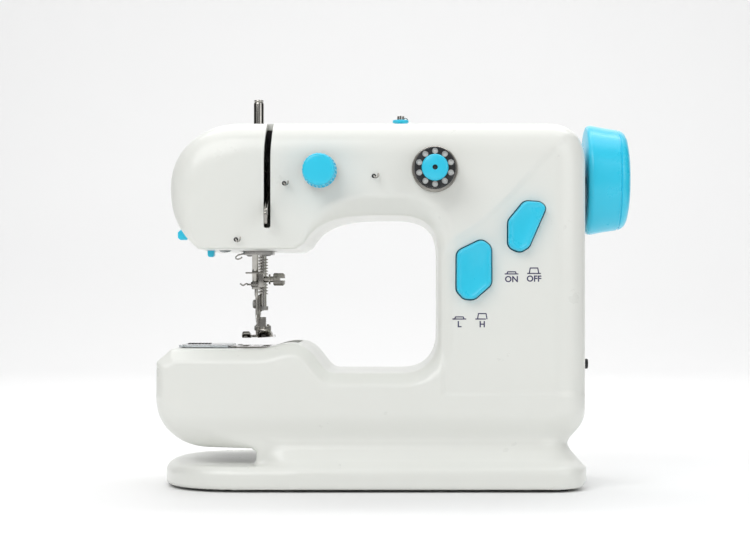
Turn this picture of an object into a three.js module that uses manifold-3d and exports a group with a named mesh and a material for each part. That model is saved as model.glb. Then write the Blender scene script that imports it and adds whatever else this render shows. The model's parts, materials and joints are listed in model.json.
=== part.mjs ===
// Small two-speed sewing machine with a free arm.
// Millimetres, +Z up. The origin is under the middle of the machine, on the table.
// -Y is the front, where the operator sits, and +X is the handwheel's end.

import * as THREE from 'three';
import { mergeVertices } from 'three/addons/utils/BufferGeometryUtils.js';
import Module from 'manifold-3d';

const wasm = await Module();
wasm.setup();

// Driving dimensions
const wall = 2.5; // moulded casing
const gap = 0.3; // between touching pieces
const bodyFront = -40; // casing's front face
const bodyBack = 40; // casing's rear face
const reach = 54; // how far the knob and the lifter stand out from the middle
const leftEnd = -100.6; // tip of the free arm
const rightEnd = 105; // crown of the handwheel
const topZ = 156.7; // casing's top
const headLeft = -95; // head's left side
const headZ = 102.5; // underside of the head
const archZ = 117; // underside of the bridge
const archLeft = -38;
const archRight = 19.6; // the column's left side
const columnRight = 83.1;
const bedZ = 50;
const armZ = 60; // top of the free arm
const crestZ = 62.6; // where the arm's top swells, right of the needle
const armUnderZ = 17.8;
const waistRight = 74.5;
const notchRight = -57.5; // where the slot under the free arm ends
const baseTopZ = 10.8;
const baseUnderZ = 1.2;
const baseDepth = 95;

const shaft = { z: 134, radius: 2.5 }; // main shaft, along X at y = 0
const lower = { y: 12.5, z: 34, radius: 2.5 }; // lower shaft, along X
const motor = { x: 34, y: -11, z: 33, radius: 10.5, length: 28 };
const beltX = 64.6; // left face of the motor's belt
const timingX = 70.6; // left face of the belt to the lower shaft
const beltWidth = 5;
const beltInset = 0.5; // each side of the band within its wheels' width
const beltInner = 0.5; // band's inner and outer faces, out from its wheels
const beltOuter = 1.6;

const needleX = -61;
const barRadius = 1.45;
const presser = { x: -58.1, y: 6.5, radius: 1.6, bottom: 75.5, top: 138 };
const clampZ = 86; // underside of the needle clamp
const needleTipZ = 70.2;
const foot = { left: -65.9, right: -52.5, sole: 64.2, thick: 1.2, pivotY: 5.2, pivotZ: 68.3 };
const plateZ = 60.6; // top of the needle plate
const hook = { x: -77.2, radius: 15, bottom: 38, top: 52 };
const leverX = -52.65; // middle of the take-up slot
const lever = { pivotY: -12, pivotZ: 137, eyeY: -46, eyeZ: 117, tail: 4 };
const slot = { left: -54.1, right: -51.2, bottom: 111.5 };
const knob = { x: -30.2, z: 135.5, radius: 7.3 };
const bobbin = { x: 18.4, z: 136.4, radius: 8.6, pinRadius: 2.2 };
const spool = { x: -60.9, y: 18, radius: 2.2, top: 171.6 };
const winder = { x: 3.6, y: 4, radius: 3.6, top: 163.1 };
const jack = { y: -10, z: 52.9 };
const lifter = { x: -58.1, z: 113, armLength: 22 };

// Looks, as colour, roughness and metalness
const looks = {
  white: [0xe3e5df, 0.35, 0],
  cyan: [0x36c8e4, 0.35, 0],
  black: [0x1c1d20, 0.4, 0],
  chrome: [0xc9c9c9, 0.15, 1],
  steel: [0x9a9a98, 0.35, 1],
  rubber: [0x2b2b2d, 0.8, 0],
  thread: [0xf2f2ee, 0.9, 0],
  clear: [0xdde6e8, 0.1, 0],
  frame: [0x55585c, 0.5, 0],
  brass: [0xb8974a, 0.3, 1],
};

const machine = new THREE.Group();

// ---------- solids ----------

function toSolid(geometry) {
  geometry.deleteAttribute('normal');
  geometry.deleteAttribute('uv');
  const merged = mergeVertices(geometry, 1e-4);
  const index = merged.index.array;
  const kept = [];
  for (let i = 0; i < index.length; i += 3) {
    const [a, b, c] = [index[i], index[i + 1], index[i + 2]];
    if (a !== b && b !== c && c !== a) kept.push(a, b, c);
  }
  const vertProperties = new Float32Array(merged.attributes.position.array);
  const make = (tris) => new wasm.Manifold(
    new wasm.Mesh({ numProp: 3, vertProperties, triVerts: new Uint32Array(tris) }));
  const made = make(kept);
  if (made.volume() > 0) return made;
  for (let i = 0; i < kept.length; i += 3) {
    [kept[i], kept[i + 1]] = [kept[i + 1], kept[i]];
  }
  return make(kept);
}

function addPart(name, solid, look) {
  const mesh = solid.getMesh();
  const geometry = new THREE.BufferGeometry();
  geometry.setAttribute('position', new THREE.BufferAttribute(mesh.vertProperties, 3));
  geometry.setIndex(new THREE.BufferAttribute(mesh.triVerts, 1));
  geometry.computeVertexNormals();
  const [color, roughness, metalness] = looks[look];
  const part = new THREE.Mesh(
    geometry, new THREE.MeshStandardMaterial({ color, roughness, metalness }));
  part.name = name;
  machine.add(part);
}

function box(x0, x1, y0, y1, z0, z1) {
  const geometry = new THREE.BoxGeometry(x1 - x0, y1 - y0, z1 - z0);
  geometry.translate((x0 + x1) / 2, (y0 + y1) / 2, (z0 + z1) / 2);
  return toSolid(geometry);
}

// Turns [radius, height] pairs about an axis through (x, y, z); height runs along the axis,
// which is +X, +Z, or "front" for -Y.
function turned(profile, axis, x, y, z, sides = 24) {
  const points = profile.map(([r, h]) => new THREE.Vector2(r, h));
  const geometry = new THREE.LatheGeometry(points, sides);
  geometry.rotateX(Math.PI / 2);
  if (axis === 'x') geometry.rotateY(Math.PI / 2);
  if (axis === 'front') geometry.rotateX(Math.PI / 2);
  geometry.translate(x, y, z);
  return toSolid(geometry);
}

function rod(radius, from, to, axis, x, y, z, sides = 16) {
  return turned([[0, from], [radius, from], [radius, to], [0, to]], axis, x, y, z, sides);
}

function ring(inner, outer, from, to, axis, x, y, z, sides = 24) {
  const profile = [[inner, from], [outer, from], [outer, to], [inner, to], [inner, from]];
  return turned(profile, axis, x, y, z, sides);
}

// Extrudes an outline drawn in X and Z from the front plane to the back plane.
function slab(shape, front, back, bevel = 0, curveSegments = 8) {
  const geometry = new THREE.ExtrudeGeometry(shape, {
    depth: back - front - 2 * bevel,
    curveSegments,
    bevelEnabled: bevel > 0,
    bevelThickness: bevel,
    bevelSize: bevel,
    bevelOffset: -bevel,
    bevelSegments: 2,
  });
  geometry.rotateX(Math.PI / 2);
  geometry.translate(0, back - bevel, 0);
  return toSolid(geometry);
}

// Extrudes a plan outline, drawn in X and Y, upwards.
function plate(shape, bottom, top, bevel = 0, curveSegments = 6) {
  const geometry = new THREE.ExtrudeGeometry(shape, {
    depth: top - bottom - 2 * bevel,
    curveSegments,
    bevelEnabled: bevel > 0,
    bevelThickness: bevel,
    bevelSize: bevel,
    bevelOffset: -bevel,
    bevelSegments: 2,
  });
  geometry.translate(0, 0, bottom + bevel);
  return toSolid(geometry);
}

// Extrudes an outline drawn in Y and Z along X.
function sideSlab(shape, left, right, curveSegments = 6) {
  const geometry = new THREE.ExtrudeGeometry(shape, {
    depth: right - left, curveSegments, bevelEnabled: false,
  });
  geometry.rotateX(Math.PI / 2);
  geometry.rotateZ(Math.PI / 2);
  geometry.translate(left, 0, 0);
  return toSolid(geometry);
}

function wire(points, radius, steps = 12, sides = 6) {
  const path = new THREE.CatmullRomCurve3(points.map((p) => new THREE.Vector3(...p)));
  const section = new THREE.Shape();
  section.absarc(0, 0, radius, 0, 2 * Math.PI);
  const geometry = new THREE.ExtrudeGeometry(section, {
    extrudePath: path, steps, curveSegments: sides / 2, bevelEnabled: false,
  });
  return toSolid(geometry);
}

function roundedRect(x0, x1, y0, y1, r) {
  const shape = new THREE.Shape();
  shape.moveTo(x0 + r, y0);
  shape.lineTo(x1 - r, y0);
  shape.absarc(x1 - r, y0 + r, r, -Math.PI / 2, 0);
  shape.lineTo(x1, y1 - r);
  shape.absarc(x1 - r, y1 - r, r, 0, Math.PI / 2);
  shape.lineTo(x0 + r, y1);
  shape.absarc(x0 + r, y1 - r, r, Math.PI / 2, Math.PI);
  shape.lineTo(x0, y0 + r);
  shape.absarc(x0 + r, y0 + r, r, Math.PI, 1.5 * Math.PI);
  return shape;
}

function polygon(points) {
  return new THREE.Shape(points.map(([x, y]) => new THREE.Vector2(x, y)));
}

// Moves every corner of an outline inwards by a distance (outwards if it is negative).
function inset(points, distance) {
  const count = points.length;
  return points.map((p, i) => {
    const before = points[(i + count - 1) % count];
    const after = points[(i + 1) % count];
    const a = p.clone().sub(before).normalize();
    const b = after.clone().sub(p).normalize();
    const normal = new THREE.Vector2(-(a.y + b.y), a.x + b.x).normalize();
    const stretch = Math.max(0.5, normal.dot(new THREE.Vector2(-a.y, a.x)));
    return p.clone().add(normal.multiplyScalar(distance / stretch));
  });
}

// ---------- casing ----------

// The casing seen from the front, anticlockwise from the waist's right end.
function casingOutline() {
  const s = new THREE.Shape();
  s.moveTo(waistRight, baseTopZ - 1);
  s.lineTo(waistRight, 17);
  s.bezierCurveTo(waistRight, 23, columnRight, 24, columnRight, 35);
  s.lineTo(columnRight, 141);
  s.bezierCurveTo(columnRight, 150.5, 77, topZ, 67, topZ);
  s.lineTo(-65, topZ);
  s.bezierCurveTo(-80.5, topZ, headLeft, 146.5, headLeft, 129);
  s.bezierCurveTo(headLeft, 117.5, -90, 109.5, -82, headZ);
  s.lineTo(archLeft, headZ);
  s.bezierCurveTo(-34.5, 112, -26, archZ, -8, archZ);
  s.lineTo(2, archZ);
  s.bezierCurveTo(13, archZ, archRight, 113, archRight, 101);
  s.lineTo(archRight, 66);
  s.bezierCurveTo(archRight, 56, 14, bedZ, 4, bedZ);
  s.lineTo(-24.5, bedZ);
  s.bezierCurveTo(-31, bedZ, -32, crestZ, -43, crestZ);
  s.bezierCurveTo(-49, crestZ, -51, armZ, -58, armZ);
  s.lineTo(-94.1, armZ);
  s.lineTo(leftEnd + 0.2, 54.6);
  s.lineTo(leftEnd, 39);
  s.bezierCurveTo(leftEnd, 27, -92, armUnderZ, -77, armUnderZ);
  s.lineTo(notchRight - 2, armUnderZ);
  s.lineTo(notchRight, armUnderZ - 1.5);
  s.lineTo(notchRight, baseTopZ - 1);
  s.closePath();
  return s.getPoints(7).slice(0, -1);
}

// The two push buttons' outlines, in X and Z
const speedOutline = [[27.6, 84.8], [27.7, 101.5], [38.3, 106.7], [42.2, 103.5], [42.3, 87.5],
  [35, 81.2], [30.8, 81.4]].map(([x, z]) => new THREE.Vector2(x, z));
const onOffOutline = [[49.4, 103.4], [49.5, 114.5], [56.3, 122.8], [62.9, 122.4], [65.5, 120.2],
  [58.2, 103.4], [54.4, 101.1]].map(([x, z]) => new THREE.Vector2(x, z));

function counterClockwise(points) {
  return THREE.ShapeUtils.area(points) > 0 ? points : points.slice().reverse();
}

function buttonPrism(outline, grow, front, back, bevel) {
  const shape = new THREE.Shape(inset(counterClockwise(outline), -grow));
  return slab(shape, front, back, bevel);
}

function casingShells() {
  const outline = counterClockwise(casingOutline());
  const upright = slab(new THREE.Shape(outline), bodyFront, bodyBack, 4);
  const outer = upright.add(plate(basePlan(0), baseUnderZ, baseTopZ, 3));
  const cuts = [
    slab(new THREE.Shape(inset(outline, wall)), bodyFront + wall, bodyBack - wall),
    plate(basePlan(wall + 1), baseUnderZ - 1, baseTopZ - wall),
    box(notchRight + 4, waistRight - 4, -34, 34, baseTopZ - wall - 1, baseTopZ + 6),
    box(slot.left, slot.right, bodyFront - 2, -26, slot.bottom, topZ + 2), // take-up slot
    rod(2.4, 0, 8, 'front', knob.x, bodyFront + 6, knob.z),
    rod(2.6, 0, 8, 'front', bobbin.x, bodyFront + 6, bobbin.z),
    buttonPrism(speedOutline, 0.4, bodyFront - 2, bodyFront + 5, 0),
    buttonPrism(onOffOutline, 0.4, bodyFront - 2, bodyFront + 5, 0),
    box(-67, -52, -6, 12, headZ - 1, headZ + 4), // bars through the head's underside
    box(-81.6, -77.2, -12.5, -5.5, headZ - 1, headZ + 4), // lamp switch
    rod(3.3, headZ - 1, headZ + 4, 'z', -73, -14, 0), // lamp
    rod(3.4, columnRight - 4, columnRight + 1, 'x', 0, 0, shaft.z),
    rod(3.5, columnRight - 4, columnRight + 1, 'x', 0, jack.y, jack.z, 12),
    rod(3.3, topZ - 4, topZ + 1, 'z', spool.x, spool.y, 0),
    rod(2.2, topZ - 4, topZ + 1, 'z', winder.x, winder.y, 0),
    box(-92.4, -40.5, -18.2, 18.2, armZ - 4, crestZ + 1), // bobbin well and needle plate
    rod(3, -bodyBack - 1, -bodyBack + 4, 'front', lifter.x, 0, lifter.z),
    rod(1.7, -bodyBack - 1, -bodyBack + 4, 'front', 60, 0, 140, 12),
    rod(1.7, -bodyBack - 1, -bodyBack + 4, 'front', 60, 0, 40, 12),
    box(-94.6, -90, -9.3, -5.3, 107, 112.4), // thread cutter's seat
  ];
  const body = cuts.reduce((solid, cut) => solid.subtract(cut), outer);
  const frontHalf = box(-120, 120, -60, -gap / 2, 0, 200);
  const backHalf = box(-120, 120, gap / 2, 60, 0, 200);
  addPart('front_shell', body.intersect(frontHalf), 'white');
  addPart('rear_shell', body.intersect(backHalf), 'white');
}

// The base's plan: a long tongue under the free arm, rounder at its left tip.
function basePlan(margin) {
  const half = baseDepth / 2 - margin;
  const left = -99.5 + margin;
  const right = 81.5 - margin;
  const tip = 40 - margin;
  const corner = 14 - margin;
  const s = new THREE.Shape();
  s.moveTo(left + tip, -half);
  s.lineTo(right - corner, -half);
  s.quadraticCurveTo(right, -half, right, -half + corner);
  s.lineTo(right, half - corner);
  s.quadraticCurveTo(right, half, right - corner, half);
  s.lineTo(left + tip, half);
  s.bezierCurveTo(left + 6, half, left, 22, left, 0);
  s.bezierCurveTo(left, -22, left + 6, -half, left + tip, -half);
  return s;
}

function base() {
  const opening = box(3, 63, -27, 27, 0, 6);
  addPart('bottom_plate', plate(basePlan(wall + 1 + gap), 2.4, 3.9).subtract(opening), 'white');
  addPart('battery_cover', plate(roundedRect(0, 66, -30, 30, 3), 0.9, 2.1), 'white');
  const feet = { front_left: [-78, -30], front_right: [71, -36], rear_left: [-78, 30],
    rear_right: [71, 36] };
  for (const [name, [x, y]] of Object.entries(feet)) {
    const profile = [[0, 0], [4.2, 0], [4.8, 0.6], [4.8, 2.4 - gap], [0, 2.4 - gap]];
    addPart(`rubber_foot_${name}`, turned(profile, 'z', x, y, 0, 16), 'rubber');
  }
  // Four cells side by side in their tray
  let pack = box(4, 62, -26, 26, 4.2, 8);
  for (let cell = 0; cell < 4; cell += 1) {
    pack = pack.add(rod(7, -25.5, 25.5, 'front', 11.7 + 14.4 * cell, 0, 11.6, 12));
  }
  addPart('battery_pack', pack, 'black');
}

// ---------- drive ----------

function shafts() {
  const profile = [[0, 85.4], [22.6, 85.4], [23.9, 86.4], [24.2, 89], [22.2, 100.4], [20.6, 102.6],
    [17, 104], [9, 104.8], [0, rightEnd]];
  const wheel = turned(profile, 'x', 0, 0, shaft.z, 40);
  const shaftHole = rod(shaft.radius + gap, 80, 96, 'x', 0, 0, shaft.z, 16);
  addPart('handwheel', wheel.subtract(shaftHole), 'cyan');

  const mainPulley = rod(16, beltX, beltX + beltWidth, 'x', 0, 0, shaft.z, 24);
  const timingPulley = rod(8, timingX, timingX + beltWidth, 'x', 0, 0, shaft.z, 20);
  const mainRod = rod(shaft.radius, -44.5, 95.4, 'x', 0, 0, shaft.z, 16);
  addPart('main_shaft', mainRod.add(mainPulley).add(timingPulley), 'steel');

  const disc = rod(10, -48.5, -44.5 - gap, 'x', 0, 0, shaft.z, 24);
  const pin = rod(1.5, -50.6, -48, 'x', 0, -7.5, shaft.z, 12);
  addPart('crank_disc', disc.add(pin), 'steel');

  const lowerRod = rod(lower.radius, -84, 78, 'x', 0, lower.y, lower.z, 12);
  const lowerPulley = rod(8, timingX, timingX + beltWidth, 'x', 0, lower.y, lower.z, 20);
  const worm = rod(4, -82, -72, 'x', 0, lower.y, lower.z, 16);
  addPart('lower_shaft', lowerRod.add(lowerPulley).add(worm), 'steel');
}

function motorAndBelts() {
  const { x, y, z, radius, length } = motor;
  const nose = rod(4, x + length - 1, x + length + 2, 'x', 0, y, z, 16);
  addPart('drive_motor', rod(radius, x, x + length, 'x', 0, y, z, 20).add(nose), 'steel');
  const pulley = rod(4, beltX, beltX + beltWidth, 'x', 0, y, z, 16);
  addPart('motor_pulley', pulley, 'brass');
  belt('motor_belt', beltX, 16, 0, shaft.z, 4, y, z);
  belt('timing_belt', timingX, 8, 0, shaft.z, 8, lower.y, lower.z);
}

// A closed band round two wheels that stand one above the other
function belt(name, left, topRadius, topY, topZc, lowRadius, lowY, lowZ) {
  const band = (margin, inward) => {
    const r1 = topRadius + margin;
    const r2 = lowRadius + margin;
    const along = new THREE.Vector2(topY - lowY, topZc - lowZ);
    const lean = Math.atan2(along.y, along.x);
    const open = Math.acos((r2 - r1) / along.length());
    const shape = new THREE.Shape();
    shape.absarc(topY, topZc, r1, lean - Math.PI + open, lean + Math.PI - open);
    shape.absarc(lowY, lowZ, r2, lean + Math.PI - open, lean + Math.PI + open);
    return sideSlab(shape, left + beltInset + inward, left + beltWidth - beltInset - inward, 10);
  };
  const outside = band(beltOuter, 0);
  const inside = band(beltInner, -2 * beltInset - 0.5);
  addPart(name, outside.subtract(inside), 'rubber');
}

function innerFrame() {
  // An upright plate behind the shafts, with lugs that carry them
  const back = box(-34, 70, 22, 24.5, 120, 150).add(box(24, 70, 22, 24.5, 22, 150));
  const arm = box(-56, 30, 22, 24.5, 22, 40);
  let frame = back.add(arm);
  const lugs = [[-34, -29], [56, 61]];
  for (const [from, to] of lugs) {
    frame = frame.add(box(from, to, -6, 23, shaft.z - 6, shaft.z + 6));
  }
  frame = frame.subtract(rod(shaft.radius + 0.1, -60, 100, 'x', 0, 0, shaft.z, 16));
  for (const [from, to] of [[-56, -51], [40, 45]]) {
    frame = frame.add(box(from, to, lower.y - 6, 23, lower.z - 6, lower.z + 6));
  }
  frame = frame.subtract(rod(lower.radius + 0.1, -90, 100, 'x', 0, lower.y, lower.z, 16));
  addPart('inner_frame', frame, 'frame');
}

function hookAndBobbin() {
  const { x, radius, bottom, top } = hook;
  const cup = turned([[0, bottom], [radius, bottom], [radius, top], [13.4, top], [13.4, bottom + 2],
    [0, bottom + 2]], 'z', x, 0, 0, 32);
  const stem = rod(3, 26, bottom + 1, 'z', x, 0, 0, 12);
  const gear = rod(8, 31.5, 36.5, 'z', x, 0, 0, 20);
  addPart('hook', cup.add(stem).add(gear), 'steel');
  const inner = turned([[0, bottom + 2.4], [12.9, bottom + 2.4], [12.9, 53.4], [11.2, 53.4],
    [11.2, bottom + 3.8], [0, bottom + 3.8]], 'z', x, 0, 0, 32);
  addPart('bobbin_case', inner, 'black');
  const spoolProfile = [[0, 42.3], [10.15, 42.3], [10.15, 43.3], [3.4, 43.3], [3.4, 53], [10.15, 53],
    [10.15, 54], [0, 54]];
  addPart('lower_bobbin', turned(spoolProfile, 'z', x, 0, 0, 24), 'clear');
}

function feedDog() {
  const bars = [box(-66.2, -64.2, -9, 9, 54, 59.9), box(-57, -55, -9, 9, 54, 59.9)];
  const bridge = box(-66.2, -55, 9 - 0.5, 12, 54, 56.5);
  addPart('feed_dog', bars[0].add(bars[1]).add(bridge), 'steel');
}

// ---------- needle and presser ----------

function needleBar() {
  addPart('needle_bar', rod(barRadius, clampZ + 0.6, 150, 'z', needleX, 0, 0, 12), 'chrome');
  const bore = rod(barRadius + gap, clampZ - 5, 100, 'z', needleX, 0, 0, 12);
  const block = box(needleX - 2.6, needleX + 4, -2.6, 2.6, clampZ + 1, clampZ + 7.2);
  const lowerPart = box(needleX - 2.6, needleX + 3, -2.4, 2.4, clampZ - 0.4, clampZ + 1.2);
  const needleHole = rod(0.8 + gap, clampZ - 3, clampZ + 3, 'z', needleX + 0.5, 0, 0, 10);
  const screwHole = rod(1.2 + gap, needleX + 2, needleX + 5, 'x', 0, 0, clampZ + 4, 10);
  const guide = wire([[needleX - 2, -1.6, clampZ + 0.6], [needleX - 4, -2, clampZ + 1.4],
    [needleX - 6.6, -2.4, clampZ + 1.8]], 0.35, 6);
  const lowBlock = lowerPart.subtract(needleHole);
  const clamp = block.subtract(bore).subtract(screwHole).add(lowBlock.subtract(
    rod(barRadius + gap, clampZ, 100, 'z', needleX, 0, 0, 12))).add(guide);
  addPart('needle_clamp', clamp, 'chrome');
  const needleProfile = [[0, needleTipZ], [0.42, needleTipZ + 4], [0.42, clampZ - 5], [0.8, clampZ - 3],
    [0.8, clampZ + 0.2], [0, clampZ + 0.2]];
  addPart('needle', turned(needleProfile, 'z', needleX + 0.5, 0, 0, 10), 'chrome');
  const screw = turned([[0, 2.6], [1.2, 2.6], [1.2, 7.9], [2.8, 8.1], [2.8, 12.6], [2.3, 13.2],
    [0, 13.2]], 'x', needleX, 0, clampZ + 4, 16);
  addPart('clamp_screw', screw, 'chrome');
  // The rod hangs from the crank and drives the bar; it rides with the bar.
  const rodPlate = box(needleX + 1.9, needleX + 3.8, -3, 3, 124, 142);
  addPart('connecting_rod', rodPlate, 'steel');
}

function presserBar() {
  const { x, y, radius, bottom, top } = presser;
  addPart('presser_bar', rod(radius, bottom, top, 'z', x, y, 0, 12), 'chrome');
  addPart('presser_spring', ring(radius + gap, 2.3, 83.4, headZ - 2.4, 'z', x, y, 0, 12), 'chrome');
  const bore = rod(radius + gap, 70, 90, 'z', x, y, 0, 12);
  const shank = box(x - 2.4, x + 2.4, y - 3, y + 3.2, 74.4, 83);
  const screwSeat = rod(1 + gap, x - 4, x, 'x', 0, y, 79, 10);
  const tongue = box(x - 1.5, x + 1.5, y - 3, y + 1.2, foot.pivotZ - 1.6, 75);
  const pivotHole = rod(0.8 + 0.1, x - 3, x + 3, 'x', 0, foot.pivotY, foot.pivotZ, 12);
  const stop = box(x - 3, x + 3, y - 3.6, y + 3.6, 74.4, 75.2);
  const ankle = shank.add(tongue).add(stop).subtract(bore).subtract(screwSeat).subtract(pivotHole);
  addPart('ankle', ankle, 'chrome');
  const screw = turned([[0, -4.6], [1.9, -4.6], [2, -4.2], [2, -2.4 - gap], [1, -2.4 - gap],
    [1, -1.9], [0, -1.9]], 'x', x, y, 79, 14);
  addPart('ankle_screw', screw, 'chrome');
}

function presserFoot() {
  const { left, right, sole, thick, pivotY, pivotZ } = foot;
  // Side view of the sole: its toes curl up at the front
  const side = new THREE.Shape();
  side.moveTo(10, sole);
  side.lineTo(10, sole + thick);
  side.lineTo(-7, sole + thick);
  side.quadraticCurveTo(-11, sole + thick, -14, sole + thick + 2.6);
  side.lineTo(-14.6, sole + 1.9);
  side.quadraticCurveTo(-11.5, sole, -8, sole);
  side.closePath();
  const plan = roundedRect(left, right, -14.6, 10, 2.4);
  const shaped = sideSlab(side, left, right).intersect(plate(plan, sole - 1, sole + 8));
  const needleSlot = box(needleX - 0.9, needleX + 1.9, -16, 2.6, sole - 1, sole + 8);
  const ear = (from, to) => box(from, to, pivotY - 2, pivotY + 2, sole + 0.6, pivotZ + 1.7);
  const ears = ear(presser.x - 3, presser.x - 1.9).add(ear(presser.x + 1.9, presser.x + 3));
  const pin = rod(0.8, presser.x - 3.4, presser.x + 3.4, 'x', 0, pivotY, pivotZ, 12);
  addPart('presser_foot', shaped.subtract(needleSlot).add(ears).add(pin), 'chrome');
}

function presserLifter() {
  const { x, z, armLength } = lifter;
  const spindle = rod(2.6, -42, -14, 'front', x, 0, z, 14);
  const cam = rod(5, -18, -14, 'front', x, 0, z, 16);
  const handle = slab(roundedRect(x - 4, x + armLength, z - 4, z + 4, 3.9), 41.6, 45.6, 0, 4);
  const tab = slab(roundedRect(x + armLength - 9, x + armLength, z - 4, z + 4, 3.9), 45, reach, 0, 4);
  addPart('presser_lifter', spindle.add(cam).add(handle).add(tab), 'white');
}

function bushingPlate() {
  const body = box(-66, -53, -5, 11, headZ - 1.6, headZ + 1.6);
  const needleHole = rod(barRadius + 0.3, 90, 110, 'z', needleX, 0, 0, 12);
  const presserHole = rod(presser.radius + 0.3, 90, 110, 'z', presser.x, presser.y, 0, 12);
  const loop = wire([[-65.5, -3, headZ - 0.6], [-68, -3.4, headZ - 1], [-69.6, -3.2, headZ - 2.4],
    [-68, -3, headZ - 3.4], [-66.2, -3, headZ - 2.6]], 0.35, 12);
  addPart('bushing_plate', body.subtract(needleHole).subtract(presserHole).add(loop), 'steel');
}

function takeUpLever() {
  const { pivotY, pivotZ, eyeY, eyeZ, tail } = lever;
  const side = new THREE.Shape();
  side.absarc(pivotY, pivotZ, 3, -0.6, 2.2);
  side.lineTo(-36, 123.2);
  side.lineTo(eyeY - 1, eyeZ + 3.4);
  side.absarc(eyeY, eyeZ, 2.2, 2.4, 3.5);
  // Past the eye the arm hangs down as a short tail
  side.lineTo(eyeY - 0.9, eyeZ - tail);
  side.lineTo(eyeY, eyeZ - tail + 0.3);
  side.lineTo(eyeY + 2.2, eyeZ - 0.9);
  side.lineTo(-36, 119);
  side.closePath();
  const arm = sideSlab(side, leverX - 0.6, leverX + 0.6);
  const eye = rod(0.8, leverX - 2, leverX + 2, 'x', 0, eyeY, eyeZ, 10);
  addPart('take_up_lever', arm.subtract(eye), 'chrome');
}

// ---------- thread path ----------

function tension() {
  const { x, z, radius } = knob;
  addPart('tension_stud', rod(1.8, 34, 51, 'front', x, 0, z, 14), 'steel');
  const disc = (from) => turned([[2.1, from], [5.6, from], [7, from + 0.5], [7, from + 0.9],
    [5.6, from + 0.6], [2.1, from + 0.6], [2.1, from]], 'front', x, 0, z, 24);
  addPart('tension_disc_inner', disc(40.4), 'chrome');
  addPart('tension_disc_outer', disc(41.8), 'chrome');
  const profile = [[2.1, 43.2], [radius, 43.2], [radius - 0.3, 51.6], [radius - 1.6, reach - 0.6],
    [radius - 2.6, reach], [0, reach], [0, 51.4], [2.1, 51.4], [2.1, 43.2]];
  addPart('tension_knob', turned(profile, 'front', x, 0, z, 30), 'cyan');
}

function frontBobbin() {
  const { x, z, radius, pinRadius } = bobbin;
  const seat = rod(9.8, 40.4, 41.5, 'front', x, 0, z, 28);
  addPart('bobbin_spindle', seat.add(rod(pinRadius, 34, 51, 'front', x, 0, z, 14)), 'chrome');
  const bore = pinRadius + 0.2;
  const spoolProfile = [[bore, 41.9], [radius, 41.9], [radius, 42.9], [3.4, 42.9], [3.4, 50],
    [radius, 50], [radius, 51], [bore, 51], [bore, 41.9]];
  addPart('front_bobbin', turned(spoolProfile, 'front', x, 0, z, 28), 'black');
  addPart('bobbin_thread', ring(3.7, 7.9, 43.2, 49.7, 'front', x, 0, z, 24), 'thread');
  const cap = [[0, 51.3], [5.6, 51.3], [5.6, 52.4], [5, 53], [0, 53.2]];
  addPart('spindle_cap', turned(cap, 'front', x, 0, z, 24), 'cyan');
}

function threadGuides() {
  const hookWire = (x, z, size) => wire([[x, -39.7 - gap, z], [x, -42, z],
    [x + 0.6 * size, -43, z - 0.6 * size], [x + size, -42, z], [x + size, -40.8, z + 0.6 * size]],
  0.4, 12);
  addPart('thread_guide_right', hookWire(-7.4, 133.5, 2), 'chrome');
  addPart('thread_guide_middle', hookWire(-45.4, 130.4, 1.8), 'chrome');
  addPart('thread_guide_lower', hookWire(-65.8, 106.6, 2.4), 'chrome');
}

function spoolAndWinder() {
  const { x, y, radius, top } = spool;
  const lip = ring(radius + 0.3, 4.4, topZ + gap, topZ + 1.4, 'z', x, y, 0, 20);
  const sleeve = ring(radius + 0.3, 3, 118, topZ + 1, 'z', x, y, 0, 16);
  addPart('spool_pin_sleeve', lip.add(sleeve), 'white');
  const pin = [[0, 119], [radius, 119], [radius, top - 0.6], [radius - 0.6, top], [0, top]];
  addPart('spool_pin', turned(pin, 'z', x, y, 0, 14), 'chrome');
  const w = winder;
  const stem = [[0, 138], [1.7, 138], [1.7, topZ + gap], [2.6, topZ + gap], [2.6, topZ + 3],
    [w.radius, topZ + 3.2], [w.radius, topZ + 4.4], [1.2, topZ + 4.8], [1.2, w.top], [0, w.top]];
  addPart('bobbin_winder', turned(stem, 'z', w.x, w.y, 0, 16), 'cyan');
}

// ---------- arm top, switches and fasteners ----------

function armTop() {
  const plan = roundedRect(-70.8, -40.8, -18, 18, 3);
  let metal = plate(plan, 57.4, plateZ);
  metal = metal.subtract(box(-66.8, -63.6, -11.4, 11.4, 50, 62));
  metal = metal.subtract(box(-57.6, -54.4, -11.4, 11.4, 50, 62));
  metal = metal.subtract(rod(1.3, 50, 62, 'z', needleX + 0.5, 0, 0, 12));
  metal = metal.subtract(box(-67.4, -53.8, -13, 15.4, 50, 58.7));
  addPart('needle_plate', metal, 'chrome');
  const cover = plate(roundedRect(-92.8, -71.2, -18.8, 18.8, 2), armZ + gap, armZ + 1.3);
  const grip = box(-90.6, -80, -3.6, 3.6, armZ + 1.2, armZ + 1.8);
  addPart('slide_cover', cover.add(grip), 'clear');
}

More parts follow.
